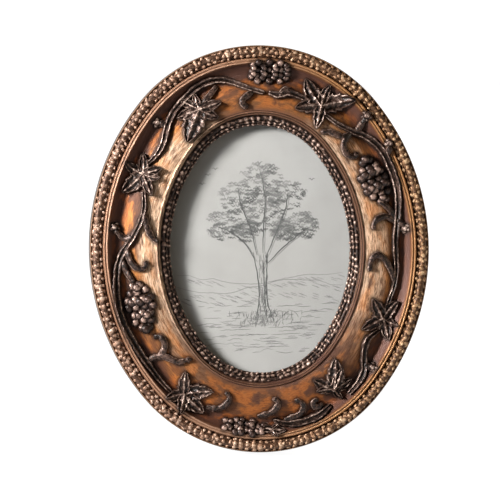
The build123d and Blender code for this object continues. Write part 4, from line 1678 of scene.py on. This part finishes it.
@dataclass(frozen=True)
class Vine:
    """All the carved ornament on the moulding."""

    finish: BronzeFinish = BronzeFinish("dark_bronze")
    grape_finish: BronzeFinish = BronzeFinish(
        "grape_bronze",
        middle=tint(0.050, 0.028, 0.022),
        high=tint(0.46, 0.31, 0.25),
        gloss=(0.24, 0.42),
        variety=0.26,
    )
    leaves: tuple[Leaf, ...] = (
        Leaf("leaf_upper_right", 31, (42.0, 95.2), (
            (23.0, 3.5), (-17.5, -1.5), (6.0, 13.5), (-10.0, 18.0), (-3.8, -15.0),
        )),
        Leaf("leaf_right", 32, (81.3, -48.0), (
            (9.5, -5.0), (3.5, -14.5), (10.5, 11.5), (-14.5, -7.0), (-6.8, 13.5),
        )),
        Leaf("leaf_lower_right", 33, (47.6, -95.0), (
            (-14.0, 7.0), (12.0, 7.0), (1.0, 21.0), (-12.0, -1.0), (5.5, 14.5), (5.5, -6.0),
        )),
        Leaf("leaf_lower_left", 34, (-52.8, -96.0), (
            (-12.5, -2.0), (19.0, 2.0), (12.5, -12.5), (-3.0, -12.5), (1.2, 15.5),
        )),
        Leaf("leaf_left", 35, (-78.0, 51.5), (
            (-11.5, 8.0), (0.5, 14.0), (-13.5, -12.0), (12.5, 3.5), (11.5, -3.0), (5.5, -14.5),
        )),
        Leaf("leaf_upper_left", 36, (-39.5, 93.5), (
            (-3.0, 11.0), (-12.0, 6.5), (12.5, -5.5), (-15.0, -5.5), (-8.5, -21.5), (14.5, 5.0),
        )),
        Leaf("leaf_bottom", 37, (5.0, -120.6), (
            (-9.0, 0.6), (9.5, -0.6), (5.0, 3.6), (4.0, -4.6),
        ), curl=0.2),
    )
    bunches: tuple[Bunch, ...] = (
        Bunch("grapes_top", 11, (7.6, 118.4), 92.0, (3, 4, 3, 4, 3, 4, 3), 2.35),
        Bunch("grapes_right", 12, (77.2, 44.6), -24.0, (2, 3, 4, 4, 4, 3, 2), 2.95),
        Bunch("grapes_bottom", 13, (-13.0, -118.6), -80.0, (2, 2, 3, 2, 3, 3, 2, 2), 2.3),
        Bunch("grapes_left", 14, (-80.6, -36.6), 168.0, (2, 3, 4, 4, 3, 3, 2), 3.0),
    )
    strands: tuple[Strands, ...] = (
        Strands("vine_stem_right", STEMS_RIGHT, STEM_OUTLINE, breadth=5.2, relief=3.1, end_share=0.6),
        Strands("vine_stem_left", STEMS_LEFT, STEM_OUTLINE, breadth=5.2, relief=3.1, end_share=0.6),
        Strands("tendrils_right", TENDRILS_RIGHT, TENDRIL_OUTLINE, 4.2, 3.1, end_share=0.45, knob=0.82),
        Strands("tendrils_left", TENDRILS_LEFT, TENDRIL_OUTLINE, 4.2, 3.1, end_share=0.45, knob=0.82),
    )
    buds: Line = ((72.5, 88), (87.6, 69.5), (97.6, 12.2), (74, -80.6), (-97, 16.4), (-67.4, 85.4))
    bud_radius: float = 2.5
    bud_rise: float = 1.0
    scales: int = 5
    scale_radius: float = 1.55
    scale_rise: float = 0.1
    scale_out: float = 2.375

    def bud(self, place: Pair) -> list[Ball]:
        """Return the balls of a bud: its knob and the scales round it.

        Args:
            place: Its middle.

        Returns:
            Place, rise and radius of each ball.
        """
        balls = [(*place, self.bud_rise, self.bud_radius)]
        for turn in np.linspace(0, 2 * math.pi, self.scales, endpoint=False) + place[0]:
            across = place[0] + self.scale_out * math.cos(turn)
            up = place[1] + self.scale_out * math.sin(turn)
            balls.append((across, up, self.scale_rise, self.scale_radius))
        return balls

    def build(self, bench: Bench) -> None:
        """Carve all the ornament.

        Args:
            bench: Takes the pieces.
        """
        finish, grape_finish = self.finish.material(), self.grape_finish.material()
        for leaf in self.leaves:
            leaf.build(bench, finish)
        for bunch in self.bunches:
            bunch.build(bench, grape_finish)
        for strands in self.strands:
            strands.build(bench, finish)
        balls = [ball for place in self.buds for ball in self.bud(place)]
        Berries("buds", tuple(balls)).build(bench, finish)


def moved(shape: Sequence[Pair], across: float, up: float) -> list[Pair]:
    """Return points moved across and up."""
    return [(u + across, v + up) for u, v in shape]


@dataclass
class Pencil:
    """A pencil in a hand that shakes a little, and the lines that it has drawn, in millimetres."""

    chance: np.random.Generator
    lines: list[Stroke] = field(default_factory=list)
    steps: int = 6

    def line(self, points: Sequence[Pair], breadth: float, dark: float, shake: float = 0.12) -> None:
        """Draw a smooth line through points."""
        path = smooth_path(np.array(points, float), self.steps)
        self.lines.append((path + self.chance.normal(0, shake, path.shape), breadth, dark))


@dataclass(frozen=True)
class TreeDrawing:
    """A plain pencil drawing of a tree on a hill, in millimetres on the face."""

    seed: int = 21
    hills: tuple[Triple, ...] = ((-20.0, 3.0, 0.25), (-25.0, 4.0, 0.35), (-31.0, 2.5, 0.5))
    hill_half: float = 56.0
    hill_stops: int = 15
    hill_wave: float = 17.0
    hill_shake: float = 0.5
    hill_line: float = 0.42
    hatches: int = 46
    hatch_half: float = 54.0
    hatch_depth: Pair = (0.6, 4.0)
    hatch_shape: Line = ((0.0, 0.0), (2.0, -0.6), (4.5, -1.6))
    hatch_line: float = 0.32
    hatch_dark: float = 0.8
    meadow_lines: int = 150
    meadow_top: float = -36.0
    meadow_depth: float = 34.0
    meadow_crowding: float = 0.9
    meadow_half: float = 46.0
    meadow_reach: Pair = (3.0, 13.0)
    meadow_slope: Pair = (0.02, 0.07)
    meadow_fall: float = 0.6
    meadow_line: float = 0.36
    meadow_dark: Pair = (0.2, 0.75)
    blades: int = 120
    blade_place: Pair = (3.0, 10.0)
    blade_foot: Pair = (-53.0, -44.0)
    blade_lean: Pair = (0.8, 1.3)
    blade_bend: Pair = (0.3, 1.6)
    blade_height: Pair = (2.4, 4.2)
    blade_line: float = 0.34
    blade_dark: Pair = (0.4, 0.95)
    trunk: tuple[Line, ...] = (
        ((-3.5, -47), (-1.0, -36), (-1.5, -20), (-4.5, -2)),
        ((8.5, -48), (5.0, -37), (4.2, -20), (5.5, -2)),
    )
    trunk_line: float = 0.75
    bark_lines: int = 60
    bark_foot: Pair = (-46.0, -6.0)
    bark_place: Pair = (-1.2, 4.6)
    bark_lean: float = 0.02
    bark_middle: float = -30.0
    bark_bend: Pair = (0.3, 2.6)
    bark_end: float = -0.2
    bark_height: Pair = (4.0, 8.0)
    bark_line: float = 0.42
    bark_shade: float = 1.8
    bark_dark: Pair = (0.45, 0.95)
    limbs: tuple[Line, ...] = (
        ((-3, -8), (-10, 4), (-20, 12), (-29, 16)),
        ((-2, -4), (-6, 14), (-12, 30), (-14, 42)),
        ((2, -3), (3, 16), (4, 36), (1, 54)),
        ((4, -6), (10, 8), (17, 24), (20, 38)),
        ((5, -10), (15, 0), (25, 8), (33, 14)),
    )
    limb_lines: tuple[Pair, ...] = ((0.8, 0.95), (0.45, 0.7))
    limb_thickness: Pair = (1.1, -0.5)
    clumps: tuple[Triple, ...] = (
        (-24, 16, 12), (-14, 34, 13), (2, 46, 14), (18, 36, 13),
        (29, 15, 11), (4, 22, 13), (-9, 12, 9), (17, 12, 9),
    )
    clump_leaves: int = 105
    clump_flatness: float = 0.85
    clump_shade: Pair = (0.55, 0.40)
    clump_light: float = math.pi / 4
    leaf_tone: Pair = (0.08, 0.16)
    leaf_size: Pair = (0.8, 1.7)
    leaf_tilt: float = 0.5
    leaf_half: float = 1.5
    leaf_humps: Line = ((-0.8, 0.9), (0.0, 0.0), (0.7, 0.8))
    leaf_line: Pair = (0.32, 0.6)
    leaf_shake: float = 0.08
    birds: Line = ((-34, 50), (-29, 54), (-38, 44), (36, 46))
    bird_shape: Line = ((-2.2, 0.7), (-1.0, 1.1), (0.0, 0.0), (1.0, 1.1), (2.2, 0.7))
    bird_line: Triple = (0.4, 0.7, 0.05)

    def land(self, pencil: Pencil) -> None:
        """Draw the hills and the meadow before them.

        Args:
            pencil: Draws the lines.
        """
        chance = pencil.chance
        for base, swing, dark in self.hills:
            across = np.linspace(-self.hill_half, self.hill_half, self.hill_stops)
            hill = base + swing * np.sin(across / self.hill_wave + base)
            hill = hill + chance.normal(0, self.hill_shake, self.hill_stops)
            pencil.line(list(zip(across, hill)), self.hill_line, dark)
            for _ in range(self.hatches):
                u = chance.uniform(-self.hatch_half, self.hatch_half)
                v = float(np.interp(u, across, hill)) - chance.uniform(*self.hatch_depth)
                pencil.line(moved(self.hatch_shape, u, v), self.hatch_line, dark * self.hatch_dark)
        for _ in range(self.meadow_lines):
            v = self.meadow_top - self.meadow_depth * chance.random() ** self.meadow_crowding
            u = chance.uniform(-self.meadow_half, self.meadow_half)
            reach = chance.uniform(*self.meadow_reach)
            rise = chance.normal(*self.meadow_slope) * reach
            points = [(u, v), (u + reach / 2, v + rise), (u + reach, v + self.meadow_fall * rise)]
            pencil.line(points, self.meadow_line, chance.uniform(*self.meadow_dark))

    def trunk_and_limbs(self, pencil: Pencil) -> None:
        """Draw the grass at the tree's foot, its trunk and its limbs.

        Args:
            pencil: Draws the lines.
        """
        chance = pencil.chance
        for _ in range(self.blades):
            u, v = chance.normal(*self.blade_place), chance.uniform(*self.blade_foot)
            lean = chance.normal(*self.blade_lean)
            bend = (self.blade_bend[0] * lean, self.blade_bend[1])
            tip = (lean, chance.uniform(*self.blade_height))
            points = moved(((0.0, 0.0), bend, tip), u, v)
            pencil.line(points, self.blade_line, chance.uniform(*self.blade_dark))
        for side in self.trunk:
            pencil.line(side, self.trunk_line, 1.0)
        for _ in range(self.bark_lines):
            v = chance.uniform(*self.bark_foot)
            u = chance.uniform(*self.bark_place) + self.bark_lean * (v - self.bark_middle)
            tip = (self.bark_end, chance.uniform(*self.bark_height))
            points = moved(((0.0, 0.0), self.bark_bend, tip), u, v)
            pencil.line(points, self.bark_line, self.bark_dark[u > self.bark_shade])
        for limb in self.limbs:
            under = moved(limb, *self.limb_thickness)
            for points, (breadth, dark) in zip((limb, under), self.limb_lines):
                pencil.line(points, breadth, dark)

    def foliage(self, pencil: Pencil) -> None:
        """Draw the clumps of leaves.

        Args:
            pencil: Draws the lines.
        """
        chance = pencil.chance
        for middle, height, size in self.clumps:
            for _ in range(self.clump_leaves):
                turn = chance.uniform(0, 2 * math.pi)
                far = math.sqrt(chance.random())
                u = middle + size * far * math.cos(turn)
                v = height + self.clump_flatness * size * far * math.sin(turn)
                shade = self.clump_shade[0] + self.clump_shade[1] * math.cos(turn + self.clump_light) * far
                shade += chance.normal(*self.leaf_tone)
                curl = chance.uniform(*self.leaf_size)
                tilt = chance.normal(0, self.leaf_tilt)
                half = self.leaf_half * curl
                humps = [(across * curl, up * curl) for across, up in self.leaf_humps]
                points = moved([(-half, tilt), *humps, (half, -tilt)], u, v)
                breadth = chance.uniform(*self.leaf_line)
                pencil.line(points, breadth, min(1.0, max(0.1, shade)), self.leaf_shake)

    def strokes(self) -> list[Stroke]:
        """Draw everything.

        Returns:
            The pencil lines.
        """
        pencil = Pencil(np.random.default_rng(self.seed))
        self.land(pencil)
        self.trunk_and_limbs(pencil)
        self.foliage(pencil)
        for u, v in self.birds:
            pencil.line(moved(self.bird_shape, u, v), *self.bird_line)
        return pencil.lines


@dataclass(frozen=True)
class Picture:
    """The sheet behind the glass with its drawing, in millimetres."""

    inset: float = 51.2
    bottom: float = 4.5
    top: float = 4.72
    ink: float = 4.76
    margin: float = 55.0
    steps: int = 180
    thin_share: float = 0.35
    taper: float = 0.6
    tree: TreeDrawing = TreeDrawing()
    paper: PaperFinish = PaperFinish()
    graphite: GraphiteFinish = GraphiteFinish()

    def sheet(self, bench: Bench) -> None:
        """Build the paper.

        Args:
            bench: Takes the piece.
        """
        ring = bench.face.oval.ring(self.inset, self.steps)
        rings = [at_height(ring, height) for height in (self.bottom, self.top)]
        carving = Carving()
        carving.add(np.vstack(rings), tube_faces(2, self.steps))
        bench.piece(carving.mesh("picture_sheet"), self.paper.material(), ["picture"])

    def drawing(self, bench: Bench) -> None:
        """Build the pencil lines as thin ribbons on the paper.

        Args:
            bench: Takes the piece.
        """
        carving = Carving()
        tones = []
        for path, breadth, dark in self.tree.strokes():
            if (bench.face.oval.locate(path)[1] <= self.margin).any():
                continue
            arch = np.sin(math.pi * np.linspace(0, 1, len(path))) ** self.taper
            half = breadth / 2 * (self.thin_share + (1 - self.thin_share) * arch)
            side = across_of(path) * half[:, None]
            ribbon = np.stack([path - side, path + side], axis=1).reshape(-1, 2)
            faces = [(i, i + 2, i + 3, i + 1) for i in range(0, len(ribbon) - 2, 2)]
            carving.add(at_height(ribbon, self.ink), faces)
            tones.append(np.full(len(ribbon), dark))
        mesh = carving.mesh("pencil_drawing")
        write_numbers(mesh, "tone", np.concatenate(tones))
        bench.register(mesh, self.graphite.material())

    def build(self, bench: Bench) -> None:
        """Build the sheet and its drawing."""
        self.sheet(bench)
        self.drawing(bench)


@dataclass(frozen=True)
class Fittings:
    """Finishes of the CAD pieces that stay as they are: glass, boards, hinge, hanger and buttons."""

    glass: GlassFinish = GlassFinish()
    card: BoardFinish = BoardFinish("grey_card", tint(0.36, 0.35, 0.33), tint(0.25, 0.24, 0.22))
    board: BoardFinish = BoardFinish("black_board", tint(0.022, 0.021, 0.020), tint(0.055, 0.05, 0.046))
    brass: MetalFinish = MetalFinish("brass_sheet", tint(0.70, 0.50, 0.22), tint(0.40, 0.25, 0.10))
    steel: MetalFinish = MetalFinish(
        "zinc_steel", tint(0.56, 0.57, 0.58), tint(0.34, 0.34, 0.35), roughness=0.34
    )
    brass_nodes: tuple[str, ...] = (
        "hinge_leaf_board", "hinge_leaf_leg", "rivets_board", "rivets_leg", "hanger_strap", "hanger_ring",
        "turn_button_upper_right", "turn_button_lower_right",
        "turn_button_lower_left", "turn_button_upper_left",
    )

    def dress(self) -> None:
        """Give each shown CAD node its finish."""
        finishes = (
            (self.glass, ("glass",)),
            (self.card, ("filler_card",)),
            (self.board, ("backboard", "easel_leg")),
            (self.brass, self.brass_nodes),
            (self.steel, ("hinge_pin", "strap_screw", "button_screws")),
        )
        for finish, nodes in finishes:
            material = finish.material()
            for node in nodes:
                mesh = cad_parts[node].data
                mesh.materials.clear()
                mesh.materials.append(material)
                LOG.info("%s: %s", node, material.name)


@dataclass(frozen=True)
class Lamp:
    """A soft area light."""

    name: str
    place: Triple
    size: Pair
    power: float
    colour: Triple

    def build(self, target: Vector) -> None:
        """Set the lamp and turn it to a target.

        Args:
            target: The place that it lights.
        """
        light = bpy.data.lights.new(self.name, "AREA")
        light.shape = "RECTANGLE"
        light.size, light.size_y = self.size
        light.energy = self.power
        light.color = self.colour
        made = placed(self.name, light)
        made.location = self.place
        made.rotation_euler = (target - made.location).to_track_quat("-Z", "Y").to_euler()


@dataclass(frozen=True)
class Studio:
    """Floor, walls, light and camera, in metres."""

    lens: float = 110.0
    view_width: float = 0.3365
    yaw: float = math.radians(4.0)
    pitch: float = math.radians(15.0)
    shift: Pair = (-0.0067, -0.0006)
    target: Triple = (0.0, -0.0036, 0.1351)
    floor_half: float = 12.0
    wall_top: float = 0.8
    backdrop_half: float = 3.0
    backdrop: float = 1.6
    backdrop_top: float = 3.0
    floor_glow: float = 0.955
    backdrop_glow: float = 1.0
    sheet_colour: Colour = tint(0.14, 0.14, 0.14)
    sheet_roughness: float = 0.9
    white: Colour = tint(1.0, 1.0, 1.0)
    world_level: float = 0.01
    lamps: tuple[Lamp, ...] = (
        Lamp("left_box", (-1.214, -0.535, 0.724), (0.22, 0.5), 53.0, (1.0, 0.98, 0.97)),
        Lamp("left_front_box", (-0.71, -1.08, 0.45), (0.5, 0.46), 0.3, (1.0, 0.95, 0.92)),
        Lamp("right_front_box", (0.71, -1.08, 0.45), (0.5, 0.46), 0.35, (1.0, 0.84, 0.66)),
        Lamp("right_side_box", (1.25, -0.30, 0.45), (0.4, 0.6), 3.6, (1.0, 0.84, 0.64)),
        Lamp("back_box", (0.45, 1.3, 0.4), (0.8, 0.5), 9.0, (1.0, 0.97, 0.94)),
    )

    def sheet(self, name: str, glow: float, corners: Sequence[Triple]) -> None:
        """Build a white sheet that the camera sees as white but for the shadow on it.

        Args:
            name: The sheet's name.
            glow: Its light towards the camera, mirrors and glass.
            corners: Its four corners.
        """
        mesh = bpy.data.meshes.new(name)
        mesh.from_pydata(list(corners), [], [(0, 1, 2, 3)])
        shader = Shader(f"white_{name}")
        rays = shader.node("ShaderNodeLightPath").outputs
        seen = shader.maths("ADD", rays["Is Glossy Ray"], rays["Is Transmission Ray"])
        seen = shader.maths("ADD", rays["Is Camera Ray"], seen)
        inputs = {
            "Base Color": self.sheet_colour,
            "Roughness": self.sheet_roughness,
            "Emission Color": self.white,
            "Emission Strength": shader.product(shader.maths("MINIMUM", seen, 1.0), glow),
        }
        mesh.materials.append(shader.finish(inputs))
        made = placed(name, mesh)

    def sheets(self) -> None:
        """Build the floor, the backdrop and the far walls."""
        half, wide, back, top = self.floor_half, self.backdrop_half, self.backdrop, self.backdrop_top
        corners = [(-half, -half), (half, -half), (half, half), (-half, half)]
        self.sheet("floor", self.floor_glow, [(*corner, 0) for corner in corners])
        screen = [(-wide, back, 0), (wide, back, 0), (wide, back, top), (-wide, back, top)]
        self.sheet("backdrop", self.backdrop_glow, screen)
        for index, (start, end) in enumerate(zip(corners, corners[1:] + corners[:1])):
            wall = [(*start, 0), (*end, 0), (*end, self.wall_top), (*start, self.wall_top)]
            self.sheet(f"far_wall_{index}", self.backdrop_glow, wall)

    def world(self) -> None:
        """Build the plain grey surroundings."""
        world = bpy.data.worlds.new("studio")
        world.use_nodes = True
        graph = Graph(world.node_tree)
        graph.tree.nodes.clear()
        sky = graph.out("ShaderNodeBackground", {"Color": self.white, "Strength": self.world_level})
        graph.node("ShaderNodeOutputWorld", {"Surface": sky})
        bpy.context.scene.world = world

    def camera(self) -> None:
        """Set the camera at the photograph's angle."""
        data = bpy.data.cameras.new("camera")
        data.lens = self.lens
        made = placed("camera", data)
        level = math.cos(self.pitch)
        away = Vector((-math.sin(self.yaw) * level, -math.cos(self.yaw) * level, math.sin(self.pitch)))
        turn = (-away).to_track_quat("-Z", "Y")
        aim = Vector(self.target) + turn @ Vector((*self.shift, 0))
        made.location = aim + away * (self.view_width * self.lens / data.sensor_width)
        made.rotation_euler = turn.to_euler()
        bpy.context.scene.camera = made

    def build(self) -> None:
        """Set the stage."""
        self.sheets()
        self.world()
        for lamp in self.lamps:
            lamp.build(Vector(self.target))
        self.camera()
        bpy.context.scene.view_settings.view_transform = "Standard"


# The rope gilt carries a painted warm light tint towards the right side.
ROPE_FINISH = BronzeFinish(
    "rope_gilt",
    low=tint(0.070, 0.034, 0.020),
    middle=tint(0.29, 0.160, 0.102),
    high=tint(0.68, 0.50, 0.39),
    gloss=(0.40, 0.56),
    warm_light_share=0.75,
)
PEARL_FINISH = BronzeFinish(
    "pearl_bronze",
    low=tint(0.020, 0.011, 0.008),
    middle=tint(0.150, 0.086, 0.062),
    high=tint(0.66, 0.50, 0.41),
    gloss=(0.36, 0.52),
)
ROWS: tuple[BeadRow, ...] = (
    BeadRow(
        "outer_rope", ("outer_bead",), ROPE_FINISH, inset=5.5, height=13.7, count=170, length=4.2,
        breadth=6.8, rise=2.2, slant=34.0, core=2.4, polish=1.6, seed=4, sway=0.45, jitter=0.3,
    ),
    BeadRow(
        "rope_pebbles_outer", (), ROPE_FINISH, inset=3.7, height=14.2, count=170, length=3.4, breadth=2.6,
        rise=1.5, slant=20.0, core=0.6, polish=2.0, seed=5, sway=0.9, jitter=0.45,
    ),
    BeadRow(
        "rope_pebbles_middle", (), ROPE_FINISH, inset=5.8, height=15.0, count=187, length=3.5, breadth=3.1,
        rise=1.5, slant=30.0, core=0.6, polish=2.0, seed=6, sway=0.9, jitter=0.6,
    ),
    BeadRow(
        "rope_pebbles_inner", (), ROPE_FINISH, inset=8.3, height=14.1, count=170, length=3.1, breadth=2.5,
        rise=1.4, slant=20.0, core=0.6, polish=2.0, seed=7, sway=0.9, jitter=0.45,
    ),
    BeadRow(
        "sight_pearls", ("sight_bead",), PEARL_FINISH, inset=49.7, height=12.5, count=116, length=3.8,
        breadth=3.3, rise=1.5, slant=40.0, core=1.2, polish=3.5, seed=8, sway=0.8, jitter=0.4, roll=-29.0,
    ),
    BeadRow(
        "sight_seeds", (), PEARL_FINISH, inset=51.9, height=11.3, count=128, length=2.9, breadth=2.5,
        rise=1.3, slant=20.0, core=0.9, polish=3.5, seed=9, sway=0.8, jitter=0.4, roll=-29.0,
    ),
    BeadRow(
        "sight_edge_seeds", (), PEARL_FINISH, inset=53.7, height=10.1, count=132, length=2.6, breadth=2.2,
        rise=1.2, slant=0.0, core=0.9, polish=3.5, seed=10, sway=0.8, jitter=0.3, roll=-29.0,
    ),
)


def main() -> None:
    """Build the whole scene."""
    logging.basicConfig(level=logging.INFO, format="%(message)s")
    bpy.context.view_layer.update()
    bench = Bench(Face())
    Vine().build(bench)
    Moulding().build(bench)
    for row in ROWS:
        row.build(bench)
    Picture().build(bench)
    Fittings().dress()
    Studio().build()


if __name__ == "__main__":
    main()
